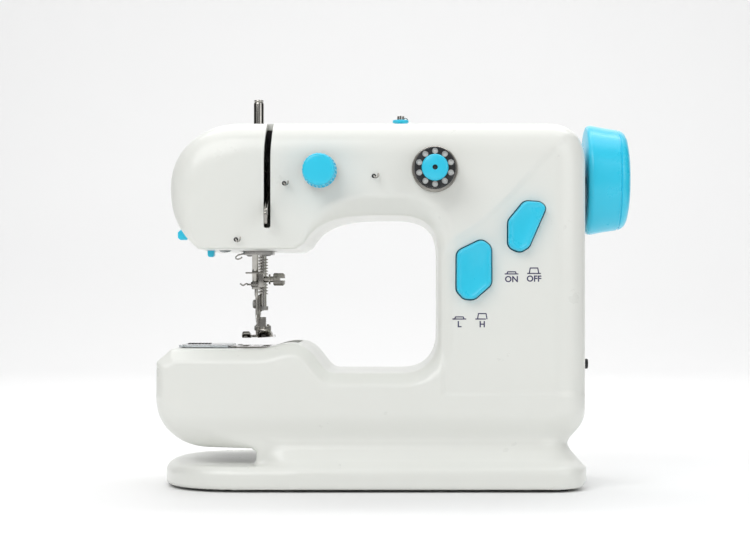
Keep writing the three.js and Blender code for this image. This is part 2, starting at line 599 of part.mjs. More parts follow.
function switches() {
  const button = (outline) => {
    const cap = buttonPrism(outline, 0, bodyFront - 3.6, bodyFront + 6, 1.2);
    return cap.add(buttonPrism(outline, 1.2, bodyFront + 4.2, bodyFront + 7, 0));
  };
  addPart('speed_button', button(speedOutline), 'cyan');
  addPart('on_off_button', button(onOffOutline), 'cyan');

  const { y, z } = jack;
  const socket = rod(2.2, columnRight - 10, columnRight + 2.8, 'x', 0, y, z, 16)
    .add(rod(3.1, columnRight - 9, columnRight - 0.4, 'x', 0, y, z, 16))
    .subtract(rod(1.2, columnRight - 7, columnRight + 4, 'x', 0, y, z, 12));
  addPart('dc_jack', socket, 'black');

  const blade = box(-94.3, -90.3, -9, -5.6, 107.3, 112.1);
  const slit = box(-95, -92, -7.6, -7, 109.6, 113);
  addPart('thread_cutter', blade.subtract(slit), 'cyan');
  addPart('work_lamp', turned([[0, headZ - 0.9], [2, headZ - 0.8], [2.9, headZ], [2.9, headZ + 3],
    [0, headZ + 3]], 'z', -73, -14, 0, 16), 'clear');
  const rocker = slab(polygon([[-81, headZ + 2], [-80.8, headZ - 2.8], [-78.3, headZ - 2.8],
    [-77.9, headZ + 2]]), -12, -6);
  addPart('lamp_switch', rocker, 'cyan');
  // Speed control board behind the two buttons
  addPart('circuit_board', box(28, 68, -24, -22.4, 78, 116), 'frame');
  const places = { upper: 140, lower: 40 };
  for (const [name, z] of Object.entries(places)) {
    const profile = [[0, -41.4], [2.9, -41.2], [2.9, -40.3], [1.4, -40.3], [1.4, -28], [0, -28]];
    addPart(`case_screw_${name}`, turned(profile, 'front', 60, 0, z, 14), 'steel');
  }
}

casingShells();
base();
shafts();
motorAndBelts();
innerFrame();
hookAndBobbin();
feedDog();
needleBar();
presserBar();
presserFoot();
presserLifter();
bushingPlate();
takeUpLever();
tension();
frontBobbin();
threadGuides();
spoolAndWinder();
armTop();
switches();

// The middle of the machine's box is over the origin.
machine.position.x = -(leftEnd + rightEnd) / 2;

export default machine;
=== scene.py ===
# The looks of a small two-speed sewing machine with a free arm.
# Shapes are drawn in the part's own millimetres, and newPiece turns them into metres.
import json
import math
import bmesh
import bpy
import numpy as np
from mathutils import Matrix, Vector

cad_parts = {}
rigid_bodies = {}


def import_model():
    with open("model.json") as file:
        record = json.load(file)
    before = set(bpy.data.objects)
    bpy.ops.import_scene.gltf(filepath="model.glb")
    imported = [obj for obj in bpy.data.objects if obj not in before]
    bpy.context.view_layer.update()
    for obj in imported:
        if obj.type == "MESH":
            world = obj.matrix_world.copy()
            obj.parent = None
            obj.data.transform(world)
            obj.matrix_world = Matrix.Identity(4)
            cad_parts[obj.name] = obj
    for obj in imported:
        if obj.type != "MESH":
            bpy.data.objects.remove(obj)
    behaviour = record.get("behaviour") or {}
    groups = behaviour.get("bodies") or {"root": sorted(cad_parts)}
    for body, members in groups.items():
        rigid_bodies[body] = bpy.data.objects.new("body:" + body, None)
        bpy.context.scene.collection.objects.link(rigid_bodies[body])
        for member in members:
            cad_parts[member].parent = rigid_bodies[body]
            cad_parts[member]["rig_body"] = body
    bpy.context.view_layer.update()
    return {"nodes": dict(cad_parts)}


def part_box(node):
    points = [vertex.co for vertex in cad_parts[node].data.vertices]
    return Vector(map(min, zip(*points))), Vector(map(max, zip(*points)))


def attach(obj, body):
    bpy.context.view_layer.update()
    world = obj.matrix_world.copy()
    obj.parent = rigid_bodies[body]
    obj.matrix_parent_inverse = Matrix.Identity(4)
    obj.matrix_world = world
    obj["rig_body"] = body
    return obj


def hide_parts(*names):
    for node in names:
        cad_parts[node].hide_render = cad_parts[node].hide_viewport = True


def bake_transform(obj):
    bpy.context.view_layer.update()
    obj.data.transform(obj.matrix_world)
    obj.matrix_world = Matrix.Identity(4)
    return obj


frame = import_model()
print("frame loaded")

casing = {
    "left": -100.6,  # tip of the free arm
    "right": 83.1,
    "top": 156.7,
    "halfDepth": 40.0,
    "headLeft": -95.0,
    "headUnder": 102.5,
    "archTop": 117.0,
    "archLeft": -38.0,
    "archRight": 19.6,
    "bedTop": 50.0,
    "armTop": 60.0,
    "crestTop": 62.6,  # low crest on the arm, right of the needle plate
    "armUnder": 17.8,
    "waistRight": 74.5,
    "notchRight": -57.5,  # where the slot under the free arm ends
    "baseTop": 10.8,
    "baseUnder": 1.2,
    "baseHalf": 47.5,
    "wall": 2.6,
    "partingGap": 0.24,
    "grid": 0.95,  # spacing of the moulding's mesh
}
millimetre = 0.001
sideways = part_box("front_shell")[0][0] / millimetre - casing["left"]

shaftZ = 134.0
needleX = -61.0
presser = {"x": -58.1, "y": 6.5, "radius": 1.6}
clampZ = 86.0
knobSpot = (-30.2, 135.5)
bobbinSpot = (18.4, 136.4)
spoolSpot = (-60.9, 18.0)
winderSpot = (3.6, 4.0)
lampSpot = (-73, -14)
jackSpot = (-10, 52.9)
lifterSpot = (-58.1, 113.0)
caseScrewX = 60
caseScrewHeights = {"upper": 140, "lower": 40}
footPin = (5.2, 68.3)
ankleBoltZ = 79
buttonCorner = 3.6
speedOutline = [(27.6, 84.8), (27.7, 101.5), (38.3, 106.7), (42.2, 103.5), (42.3, 87.5), (35, 81.2),
                (30.8, 81.4)]
onOffOutline = [(49.4, 103.4), (49.5, 114.5), (56.3, 122.8), (62.9, 122.4), (65.5, 120.2), (58.2, 103.4),
                (54.4, 101.1)]


# Shader groups that several finishes share

def newGroup(name, inputs, outputs):
    group = bpy.data.node_groups.new(name, "ShaderNodeTree")
    for label, kind, value in inputs:
        socket = group.interface.new_socket(name=label, in_out="INPUT", socket_type=kind)
        socket.default_value = value
    for label, kind in outputs:
        group.interface.new_socket(name=label, in_out="OUTPUT", socket_type=kind)
    return group, group.nodes.new("NodeGroupInput"), group.nodes.new("NodeGroupOutput")


def noiseNode(tree, vector, scale, detail=4.0, roughness=0.55):
    node = tree.nodes.new("ShaderNodeTexNoise")
    node.inputs["Scale"].default_value = scale
    node.inputs["Detail"].default_value = detail
    node.inputs["Roughness"].default_value = roughness
    tree.links.new(vector, node.inputs["Vector"])
    return node.outputs["Fac"]


def rangeNode(tree, value, low, high, outLow, outHigh):
    node = tree.nodes.new("ShaderNodeMapRange")
    node.inputs["From Min"].default_value = low
    node.inputs["From Max"].default_value = high
    tree.links.new(value, node.inputs["Value"])
    for label, given in (("To Min", outLow), ("To Max", outHigh)):
        if isinstance(given, float):
            node.inputs[label].default_value = given
        else:
            tree.links.new(given, node.inputs[label])
    return node.outputs["Result"]


def mixColour(tree, factor, first, second):
    node = tree.nodes.new("ShaderNodeMix")
    node.data_type = "RGBA"
    for socket, given in ((node.inputs["Factor"], factor), (node.inputs[6], first), (node.inputs[7], second)):
        if isinstance(given, (float, tuple)):
            socket.default_value = given
        else:
            tree.links.new(given, socket)
    return node.outputs[2]


# Moulded skin: faint flow clouds in colour and shine, and a fine grain
def makeSkinGroup():
    group, given, out = newGroup(
        "mouldedSkin",
        [("Colour", "NodeSocketColor", (0.8, 0.8, 0.8, 1)), ("Shade", "NodeSocketColor", (0.7, 0.7, 0.7, 1)),
         ("Smooth", "NodeSocketFloat", 0.25), ("Dull", "NodeSocketFloat", 0.4),
         ("Grain", "NodeSocketFloat", 0.05)],
        [("Colour", "NodeSocketColor"), ("Roughness", "NodeSocketFloat"), ("Normal", "NodeSocketVector")])
    place = group.nodes.new("ShaderNodeTexCoord").outputs["Object"]
    clouds = noiseNode(group, place, 22.0)
    amount = rangeNode(group, clouds, 0.35, 0.75, 0.0, 0.55)
    colour = mixColour(group, amount, given.outputs["Colour"], given.outputs["Shade"])
    smears = noiseNode(group, place, 65.0, 6.0, 0.65)
    shine = rangeNode(group, smears, 0.3, 0.72, given.outputs["Smooth"], given.outputs["Dull"])
    grain = noiseNode(group, place, 2600.0, 2.0)
    bump = group.nodes.new("ShaderNodeBump")
    bump.inputs["Distance"].default_value = 0.00008
    group.links.new(given.outputs["Grain"], bump.inputs["Strength"])
    group.links.new(grain, bump.inputs["Height"])
    group.links.new(colour, out.inputs["Colour"])
    group.links.new(shine, out.inputs["Roughness"])
    group.links.new(bump.outputs["Normal"], out.inputs["Normal"])
    return group


# Wear: rubbed colour along raised edges, broken up by noise
def makeWearGroup():
    group, given, out = newGroup(
        "edgeWear",
        [("Colour", "NodeSocketColor", (0.8, 0.8, 0.8, 1)), ("Worn", "NodeSocketColor", (0.9, 0.9, 0.9, 1)),
         ("Amount", "NodeSocketFloat", 0.4)],
        [("Colour", "NodeSocketColor"), ("Mask", "NodeSocketFloat")])
    edge = group.nodes.new("ShaderNodeNewGeometry").outputs["Pointiness"]
    place = group.nodes.new("ShaderNodeTexCoord").outputs["Object"]
    raised = rangeNode(group, edge, 0.53, 0.62, 0.0, given.outputs["Amount"])
    broken = rangeNode(group, noiseNode(group, place, 240.0, 5.0, 0.7), 0.38, 0.62, 0.15, 1.0)
    mask = group.nodes.new("ShaderNodeMath")
    mask.operation = "MULTIPLY"
    mask.use_clamp = True
    group.links.new(raised, mask.inputs[0])
    group.links.new(broken, mask.inputs[1])
    group.links.new(mixColour(group, mask.outputs[0], given.outputs["Colour"], given.outputs["Worn"]),
                    out.inputs["Colour"])
    group.links.new(mask.outputs[0], out.inputs["Mask"])
    return group


# Worked metal: fine drawn lines along Stretch, with smudges in the polish
def makeMetalGroup():
    group, given, out = newGroup(
        "workedMetal",
        [("Colour", "NodeSocketColor", (0.7, 0.7, 0.7, 1)), ("Shade", "NodeSocketColor", (0.5, 0.5, 0.5, 1)),
         ("Stretch", "NodeSocketVector", (1.0, 1.0, 1.0)), ("Smooth", "NodeSocketFloat", 0.12),
         ("Dull", "NodeSocketFloat", 0.3), ("Lines", "NodeSocketFloat", 0.1)],
        [("Colour", "NodeSocketColor"), ("Roughness", "NodeSocketFloat"), ("Normal", "NodeSocketVector")])
    place = group.nodes.new("ShaderNodeTexCoord").outputs["Object"]
    stretch = group.nodes.new("ShaderNodeVectorMath")
    stretch.operation = "MULTIPLY"
    group.links.new(place, stretch.inputs[0])
    group.links.new(given.outputs["Stretch"], stretch.inputs[1])
    lines = noiseNode(group, stretch.outputs[0], 1500.0, 3.0)
    smudges = noiseNode(group, place, 160.0, 5.0, 0.6)
    amount = rangeNode(group, smudges, 0.35, 0.7, 0.0, 0.6)
    shine = rangeNode(group, smudges, 0.3, 0.7, given.outputs["Smooth"], given.outputs["Dull"])
    bump = group.nodes.new("ShaderNodeBump")
    bump.inputs["Distance"].default_value = 0.00005
    group.links.new(given.outputs["Lines"], bump.inputs["Strength"])
    group.links.new(lines, bump.inputs["Height"])
    group.links.new(mixColour(group, amount, given.outputs["Colour"], given.outputs["Shade"]),
                    out.inputs["Colour"])
    group.links.new(shine, out.inputs["Roughness"])
    group.links.new(bump.outputs["Normal"], out.inputs["Normal"])
    return group


skinGroup = makeSkinGroup()
wearGroup = makeWearGroup()
metalGroup = makeMetalGroup()


def opaque(colour):
    return (*colour, 1.0)


def newMaterial(name):
    material = bpy.data.materials.new(name)
    material.use_nodes = True
    return material, material.node_tree, material.node_tree.nodes["Principled BSDF"]


def placeGroup(tree, group, values):
    node = tree.nodes.new("ShaderNodeGroup")
    node.node_tree = group
    for label, value in values.items():
        node.inputs[label].default_value = value
    return node


def plastic(name, colour, shade, worn, smooth, dull, grain=0.08, wear=0.3, coat=0.0):
    material, tree, shader = newMaterial(name)
    skin = placeGroup(tree, skinGroup, {"Colour": opaque(colour), "Shade": opaque(shade), "Smooth": smooth,
                                        "Dull": dull, "Grain": grain})
    edge = placeGroup(tree, wearGroup, {"Worn": opaque(worn), "Amount": wear})
    tree.links.new(skin.outputs["Colour"], edge.inputs["Colour"])
    tree.links.new(edge.outputs["Colour"], shader.inputs["Base Color"])
    tree.links.new(skin.outputs["Roughness"], shader.inputs["Roughness"])
    tree.links.new(skin.outputs["Normal"], shader.inputs["Normal"])
    shader.inputs["Coat Weight"].default_value = coat
    shader.inputs["Coat Roughness"].default_value = 0.12
    return material


def metal(name, colour, shade, worn, smooth, dull, stretch=(1.0, 1.0, 1.0), lines=0.15, wear=0.15):
    material, tree, shader = newMaterial(name)
    worked = placeGroup(tree, metalGroup, {"Colour": opaque(colour), "Shade": opaque(shade), "Smooth": smooth,
                                           "Dull": dull, "Stretch": stretch, "Lines": lines})
    edge = placeGroup(tree, wearGroup, {"Worn": opaque(worn), "Amount": wear})
    tree.links.new(worked.outputs["Colour"], edge.inputs["Colour"])
    tree.links.new(edge.outputs["Colour"], shader.inputs["Base Color"])
    tree.links.new(worked.outputs["Roughness"], shader.inputs["Roughness"])
    tree.links.new(worked.outputs["Normal"], shader.inputs["Normal"])
    shader.inputs["Metallic"].default_value = 1.0
    return material


def clearPlastic():
    material = plastic("clearPlastic", (0.82, 0.86, 0.88), (0.7, 0.76, 0.79), (0.95, 0.96, 0.97), 0.06, 0.2)
    shader = material.node_tree.nodes["Principled BSDF"]
    shader.inputs["Transmission Weight"].default_value = 0.75
    shader.inputs["IOR"].default_value = 1.49
    return material


# Thread: twisted strands wound side by side, drawn as fine bands with a twist across them
def woundThread(name, colour, shade):
    material, tree, shader = newMaterial(name)
    place = tree.nodes.new("ShaderNodeTexCoord").outputs["Object"]
    bands = tree.nodes.new("ShaderNodeTexWave")
    bands.bands_direction = "Y"
    bands.inputs["Scale"].default_value = 700.0
    bands.inputs["Distortion"].default_value = 2.0
    bands.inputs["Detail"].default_value = 3.0
    tree.links.new(place, bands.inputs["Vector"])
    tree.links.new(mixColour(tree, bands.outputs["Fac"], opaque(shade), opaque(colour)),
                   shader.inputs["Base Color"])
    dull = rangeNode(tree, noiseNode(tree, place, 900.0), 0.3, 0.7, 0.7, 0.95)
    tree.links.new(dull, shader.inputs["Roughness"])
    bump = tree.nodes.new("ShaderNodeBump")
    bump.inputs["Distance"].default_value = 0.0002
    bump.inputs["Strength"].default_value = 0.6
    tree.links.new(bands.outputs["Fac"], bump.inputs["Height"])
    tree.links.new(bump.outputs["Normal"], shader.inputs["Normal"])
    shader.inputs["Sheen Weight"].default_value = 0.3
    return material


# Each finish: its colour, a shade that clouds it, its worn colour, then its smooth and dull roughness
white = plastic("whiteCasing", (0.80, 0.81, 0.77), (0.785, 0.797, 0.755), (0.84, 0.85, 0.83), 0.27, 0.33,
                grain=0.25, wear=0.12, coat=0.2)
cyan = plastic("cyanPlastic", (0.026, 0.6, 0.84), (0.022, 0.55, 0.79), (0.12, 0.72, 0.9), 0.25, 0.36,
               grain=0.3, coat=0.12)
black = plastic("blackPlastic", (0.012, 0.012, 0.014), (0.02, 0.02, 0.022), (0.07, 0.07, 0.075), 0.28, 0.5,
                grain=0.1)
framePlastic = plastic("framePlastic", (0.09, 0.1, 0.11), (0.07, 0.075, 0.085), (0.2, 0.2, 0.21), 0.4, 0.65,
                       grain=0.15)
rubber = plastic("footRubber", (0.022, 0.022, 0.024), (0.035, 0.035, 0.037), (0.08, 0.08, 0.08), 0.7, 0.92,
                 grain=0.35)
ink = plastic("printedInk", (0.035, 0.03, 0.1), (0.05, 0.045, 0.13), (0.2, 0.19, 0.27), 0.5, 0.7,
              grain=0.1, wear=0.1)
clear = clearPlastic()
chrome = metal("chromeMetal", (0.44, 0.425, 0.395), (0.25, 0.24, 0.22), (0.66, 0.65, 0.62), 0.07, 0.18)
drawnChrome = metal("drawnChrome", (0.5, 0.485, 0.455), (0.29, 0.28, 0.26), (0.7, 0.69, 0.66), 0.09, 0.2,
                    stretch=(1.0, 1.0, 0.03), lines=0.3)
steel = metal("steelMetal", (0.38, 0.37, 0.355), (0.24, 0.235, 0.23), (0.6, 0.59, 0.58), 0.22, 0.42,
              stretch=(0.04, 1.0, 1.0), lines=0.3)
brass = metal("brassMetal", (0.62, 0.43, 0.17), (0.45, 0.3, 0.11), (0.8, 0.62, 0.33), 0.18, 0.38, wear=0.3)
thread = woundThread("whiteThread", (0.92, 0.92, 0.9), (0.8, 0.8, 0.78))
print("finishes made")


# Simple shapes, each as (corners, faces)

def onAxis(axis, a, b, h):
    if axis == "x":
        return (h, a, b)
    if axis == "front":  # h is how far forward, towards the operator
        return (a, -h, b)
    if axis == "y":
        return (a, h, b)
    return (a, b, h)


# A profile of (radius, height) turned about an axis through centre. adjust changes a radius round the turn.
def turned(profile, axis, centre, sides=48, adjust=None):
    corners, faces, rings = [], [], []
    for radius, height in profile:
        if radius == 0:
            rings.append([len(corners)])
            corners.append(onAxis(axis, centre[0], centre[1], height))
            continue
        rings.append(list(range(len(corners), len(corners) + sides)))
        for side in range(sides):
            angle = 2 * math.pi * side / sides
            here = adjust(radius, height, side / sides) if adjust else radius
            corners.append(onAxis(axis, centre[0] + here * math.cos(angle),
                                  centre[1] + here * math.sin(angle), height))
    following = rings[1:] + rings[:1] if profile[0][0] > 0 else rings[1:]
    for low, high in zip(rings, following):
        if len(low) == 1 and len(high) == 1:
            continue
        for side in range(sides):
            after = (side + 1) % sides
            if len(low) == 1:
                faces.append((low[0], high[after], high[side]))
            elif len(high) == 1:
                faces.append((low[side], low[after], high[0]))
            else:
                faces.append((low[side], low[after], high[after], high[side]))
    return corners, faces


def rod(radius, low, high, axis, centre, sides=32):
    return turned([(0, low), (radius, low), (radius, high), (0, high)], axis, centre, sides)


def tubeRing(inner, outer, low, high, axis, centre, sides=48):
    return turned([(inner, low), (outer, low), (outer, high), (inner, high)], axis, centre, sides)


# An outline drawn across an axis and pushed along it
def pushed(outline, low, high, axis):
    count = len(outline)
    corners = [onAxis(axis, a, b, low) for a, b in outline] + [onAxis(axis, a, b, high) for a, b in outline]
    faces = [tuple(range(count))[::-1], tuple(range(count, 2 * count))]
    for i in range(count):
        j = (i + 1) % count
        faces.append((i, j, count + j, count + i))
    return corners, faces


def block(low, high):
    outline = [(low[0], low[1]), (high[0], low[1]), (high[0], high[1]), (low[0], high[1])]
    return pushed(outline, low[2], high[2], "z")


# A round wire along a path
def wire(path, radius, sides=12):
    points = [Vector(p) for p in path]
    last = len(points) - 1
    corners, faces = [], []
    side = None
    for i, point in enumerate(points):
        along = (points[min(i + 1, last)] - points[max(i - 1, 0)]).normalized()
        if side is None:
            side = along.orthogonal().normalized()
        side = (side - along * side.dot(along)).normalized()
        up = along.cross(side)
        for k in range(sides):
            angle = 2 * math.pi * k / sides
            corners.append(tuple(point + radius * (math.cos(angle) * side + math.sin(angle) * up)))
    for i in range(last):
        for k in range(sides):
            m = (k + 1) % sides
            faces.append((i * sides + k, i * sides + m, (i + 1) * sides + m, (i + 1) * sides + k))
    faces.append(tuple(range(sides))[::-1])
    faces.append(tuple(range(last * sides, (last + 1) * sides)))
    return corners, faces


# Points along part of a circle, its two angles in degrees
def circlePoints(centre, radius, steps, start, end):
    angles = [math.radians(start + (end - start) * i / steps) for i in range(steps + 1)]
    return [(centre[0] + radius * math.cos(a), centre[1] + radius * math.sin(a)) for a in angles]


def bezier(p0, p1, p2, p3, steps=12):
    out = []
    for i in range(1, steps + 1):
        t = i / steps
        s = 1 - t
        out.append(tuple(s ** 3 * a + 3 * s * s * t * b + 3 * s * t * t * c + t ** 3 * d
                         for a, b, c, d in zip(p0, p1, p2, p3)))
    return out


def roundedBox(left, right, low, high, radius, steps=6):
    points = []
    for cx, cy, start in ((right - radius, low + radius, -90), (right - radius, high - radius, 0),
                          (left + radius, high - radius, 90), (left + radius, low + radius, 180)):
        points += circlePoints((cx, cy), radius, steps, start, start + 90)
    return points


# Rounds every corner of a polygon
def softened(outline, radius, steps=6):
    points = []
    count = len(outline)
    for i in range(count):
        here = Vector(outline[i])
        toBefore = Vector(outline[i - 1]) - here
        toAfter = Vector(outline[(i + 1) % count]) - here
        half = toBefore.angle(toAfter) / 2
        cut = min(radius / math.tan(half), toBefore.length * 0.48, toAfter.length * 0.48)
        first = here + toBefore.normalized() * cut
        last = here + toAfter.normalized() * cut
        for k in range(steps + 1):
            t = k / steps
            points.append(tuple((1 - t) ** 2 * first + 2 * t * (1 - t) * here + t * t * last))
    return points


# Moves an outline outwards by a distance, or inwards by a negative one
def grown(outline, distance):
    count = len(outline)
    area = sum(outline[i][0] * outline[(i + 1) % count][1] - outline[(i + 1) % count][0] * outline[i][1]
               for i in range(count))
    turn = 1 if area > 0 else -1
    points = []
    for i in range(count):
        here = Vector(outline[i])
        a = (here - Vector(outline[i - 1])).normalized()
        b = (Vector(outline[(i + 1) % count]) - here).normalized()
        outwards = Vector((a.y + b.y, -a.x - b.x)) * turn
        outwards.normalize()
        stretch = max(0.5, outwards.dot(Vector((a.y, -a.x)) * turn))
        points.append(tuple(here + outwards * distance / stretch))
    return points


def joined(shapes):
    corners, faces = [], []
    for someCorners, someFaces in shapes:
        start = len(corners)
        corners += list(someCorners)
        faces += [tuple(i + start for i in face) for face in someFaces]
    return corners, faces


def newMesh(name, shape):
    scaled = [((x + sideways) * millimetre, y * millimetre, z * millimetre) for x, y, z in shape[0]]
    mesh = bpy.data.meshes.new(name)
    mesh.from_pydata(scaled, [], shape[1])
    work = bmesh.new()
    work.from_mesh(mesh)
    bmesh.ops.recalc_face_normals(work, faces=work.faces)
    work.to_mesh(mesh)
    work.free()
    piece = bpy.data.objects.new(name, mesh)
    bpy.context.scene.collection.objects.link(piece)
    return piece


# Bakes the modifiers into the mesh and shades it smooth between real edges
def settle(piece, sharp=40.0):
    graph = bpy.context.evaluated_depsgraph_get()
    mesh = bpy.data.meshes.new_from_object(piece.evaluated_get(graph))
    piece.modifiers.clear()
    piece.data = mesh
    mesh.shade_smooth()
    mesh.set_sharp_from_angle(angle=math.radians(sharp))


def cutAway(piece, cutter):
    cut = piece.modifiers.new("cut", "BOOLEAN")
    cut.operation = "DIFFERENCE"
    cut.solver = "MANIFOLD"
    cut.object = cutter
    graph = bpy.context.evaluated_depsgraph_get()
    mesh = bpy.data.meshes.new_from_object(piece.evaluated_get(graph))
    if len(mesh.polygons) == 0:
        raise RuntimeError("a cut left nothing of " + piece.name)
    piece.modifiers.clear()
    piece.data = mesh
    bpy.data.objects.remove(cutter)


def carve(piece, shapes):
    for shape in shapes:
        cutAway(piece, newMesh("cutter", shape))


def bevelEdges(piece, width, segments, sharp):
    edge = piece.modifiers.new("edge", "BEVEL")
    edge.width = width * millimetre
    edge.segments = segments
    edge.limit_method = "ANGLE"
    edge.angle_limit = math.radians(sharp)


def belongs(piece, material, body, nodes):
    piece.data.materials.clear()
    piece.data.materials.append(material)
    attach(piece, body)
    if nodes:
        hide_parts(*nodes)
    return piece


# A finished piece from its shapes. nodes are the solids that it stands in for.
def newPiece(name, shapes, material, body, nodes, bevel=0, cutters=(), sharp=40.0):
    piece = newMesh(name, joined(shapes))
    carve(piece, cutters)
    if bevel:
        bevelEdges(piece, bevel, 3, sharp)
    settle(piece, sharp)
    return belongs(piece, material, body, nodes)


# The casing: its outline seen from the front, with how its edge turns onto the face.
# Each edge is (width on the face, depth on the side, flat), flat being 1 for a bevel and 0 for a round.
edges = {
    "side": (15.0, 12.0, 0.0),
    "top": (14.5, 13.0, 0.0),
    "head": (16.0, 13.0, 0.0),
    "under": (1.6, 1.6, 0.0),
    "arch": (8.0, 7.0, 1.0),
    "column": (8.5, 8.0, 0.0),
    "bed": (5.2, 6.5, 1.0),
    "armTip": (6.0, 8.0, 0.0),
    "belly": (9.0, 9.0, 0.0),
    "notch": (2.0, 2.0, 0.0),
}


def casingStretches():
    c = casing
    right, top, head, under = c["right"], c["top"], c["headLeft"], c["headUnder"]
    arch, archLeft, archRight = c["archTop"], c["archLeft"], c["archRight"]
    bed, arm, crest = c["bedTop"], c["armTop"], c["crestTop"]
    waist, left, belly, notch = c["waistRight"], c["left"], c["armUnder"], c["notchRight"]
    return [
        ([(waist, c["baseTop"] - 4)], "side"),
        ([(waist, 17)], "side"),
        (bezier((waist, 17), (waist, 23), (right, 24), (right, 35)), "side"),
        ([(right, 90)], "side"),
        ([(right, 141)], "side"),
        (bezier((right, 141), (right, 150.5), (77, top), (67, top)), "top"),
        ([(0, top)], "top"),
        ([(-65, top)], "top"),
        (bezier((-65, top), (-80.5, top), (head, 146.5), (head, 129)), "head"),
        (bezier((head, 129), (head, 117.5), (-90, 109.5), (-82, under)), "headTurn"),
        ([(-76, under)], "under"),
        ([(archLeft - 3, under)], "under"),
        (bezier((archLeft, under), (-34.5, 112), (-26, arch), (-8, arch)), "archStart"),
        ([(2, arch)], "arch"),
        (bezier((2, arch), (13, arch), (archRight, 113), (archRight, 101)), "archTurn"),
        ([(archRight, 84)], "column"),
        ([(archRight, 66)], "column"),
        (bezier((archRight, 66), (archRight, 56), (14, bed), (4, bed)), "bedTurn"),
        ([(-24.5, bed)], "bed"),
        (bezier((-24.5, bed), (-31, bed), (-32, crest), (-43, crest)), "bed"),
        (bezier((-43, crest), (-49, crest), (-51, arm), (-58, arm)), "bed"),
        ([(-94.1, arm)], "bed"),
        ([(left + 0.2, 54.6)], "armTip"),
        ([(left, 39)], "armTip"),
        (bezier((left, 39), (left, 27), (-92, belly), (-77, belly)), "belly"),
        ([(notch - 2, belly)], "notch"),
        ([(notch, belly - 1.5)], "notch"),
        ([(notch, c["baseTop"] - 4)], "notch"),
    ]


# Stretches along which one edge turns into another
turns = {
    "headTurn": ("head", "under"),
    "archStart": ("under", "arch"),
    "archTurn": ("arch", "column"),
    "bedTurn": ("column", "bed"),
}


def casingOutline():
    points, styles = [], []
    for stretch, style in casingStretches():
        for i, point in enumerate(stretch):
            points.append(point)
            if style in turns:
                first, last = (np.array(edges[name]) for name in turns[style])
                share = (i + 1) / len(stretch)
                share = share * share * (3 - 2 * share)
                styles.append(first * (1 - share) + last * share)
            else:
                styles.append(np.array(edges[style]))
    return np.array(points), np.array(styles)


# Signed distance to a closed outline, with values carried along it
def outlineDistance(points, values, px, pz):
    after = np.roll(points, -1, axis=0)
    valuesAfter = np.roll(values, -1, axis=0)
    step = after - points
    length2 = (step ** 2).sum(1)
    distance = np.empty(len(px))
    carried = np.empty((len(px), values.shape[1]))
    chunk = 20000
    for start in range(0, len(px), chunk):
        x = px[start:start + chunk, None]
        z = pz[start:start + chunk, None]
        t = np.clip(((x - points[:, 0]) * step[:, 0] + (z - points[:, 1]) * step[:, 1]) / length2, 0, 1)
        d2 = (x - points[:, 0] - t * step[:, 0]) ** 2 + (z - points[:, 1] - t * step[:, 1]) ** 2
        near = d2.argmin(1)
        rows = np.arange(len(near))
        above = (points[:, 1] > z) != (after[:, 1] > z)
        crossX = points[:, 0] + step[:, 0] * (z - points[:, 1]) / np.where(step[:, 1] == 0, 1e-9, step[:, 1])
        inside = (above & (x < crossX)).sum(1) % 2 == 1
        d = np.sqrt(d2[rows, near])
        distance[start:start + chunk] = np.where(inside, -d, d)
        share = t[rows, near][:, None]
        carried[start:start + chunk] = values[near] * (1 - share) + valuesAfter[near] * share
    return distance, carried


def smoothStep(value, low, high):
    t = np.clip((value - low) / (high - low), 0, 1)
    return t * t * (3 - 2 * t)


def smoothUnion(a, b, size):
    h = np.clip(0.5 + 0.5 * (b - a) / size, 0, 1)
    return b * (1 - h) + a * h - size * h * (1 - h)


def smoothMax(a, b, size):
    return -smoothUnion(-a, -b, size)


outlinePoints, outlineStyles = casingOutline()


def basePlan(margin=0.0, steps=16):
    half, left, right = casing["baseHalf"] - margin, -99.5 + margin, 81.5 - margin
    tip, corner = 40 - margin, 14 - margin
    points = [(left + tip, -half), (right - corner, -half)]
    points += circlePoints((right - corner, -half + corner), corner, 8, -90, 0)[1:]
    points += circlePoints((right - corner, half - corner), corner, 8, 0, 90)
    points.append((left + tip, half))
    points += bezier((left + tip, half), (left + 6, half), (left, 22), (left, 0), steps)
    points += bezier((left, 0), (left, -22), (left + 6, -half), (left + tip, -half), steps)[:-1]
    return points


planPoints = np.array(basePlan())

# The raised band that borders the button panel, as the edge of a shallow recess
panelEdge = np.array([(20.8, 62), (20.8, 98), (24, 106), (37.5, 114.8), (48.9, 125.3), (62, 140), (74, 151),
                      (110, 151), (110, 40), (20.8, 40)], dtype=float)


# How far the face is sunk at each point: deepest just inside the band, then shallower
def panelRecess(x, z):
    deep, band, fade = 0.8, 2.2, (8.0, 30.0)
    into = -outlineDistance(panelEdge, np.zeros((len(panelEdge), 1)), x, z)[0]
    return deep * smoothStep(into, 0.0, band) * (1 - 0.6 * smoothStep(into, *fade))


def upperFromOutline(d, style, recess, y, z):
    across, depth, flat = style[..., 0], style[..., 1], style[..., 2]
    half = casing["halfDepth"] - 2.7 * (1 - smoothStep(z, 21.0, 33.0)) - recess
    v = np.abs(y) - half
    u = d / across + 1
    w = v / depth + 1
    rounded = np.hypot(np.maximum(u, 0), np.maximum(w, 0)) + np.minimum(np.maximum(u, w), 0) - 1
    rounded = rounded * np.sqrt(across * depth)
    slope = ((d + across) * depth + v * across) / np.hypot(across, depth)
    bevelled = smoothMax(np.maximum(d, v), slope, 1.0)
    return rounded * (1 - flat) + bevelled * flat


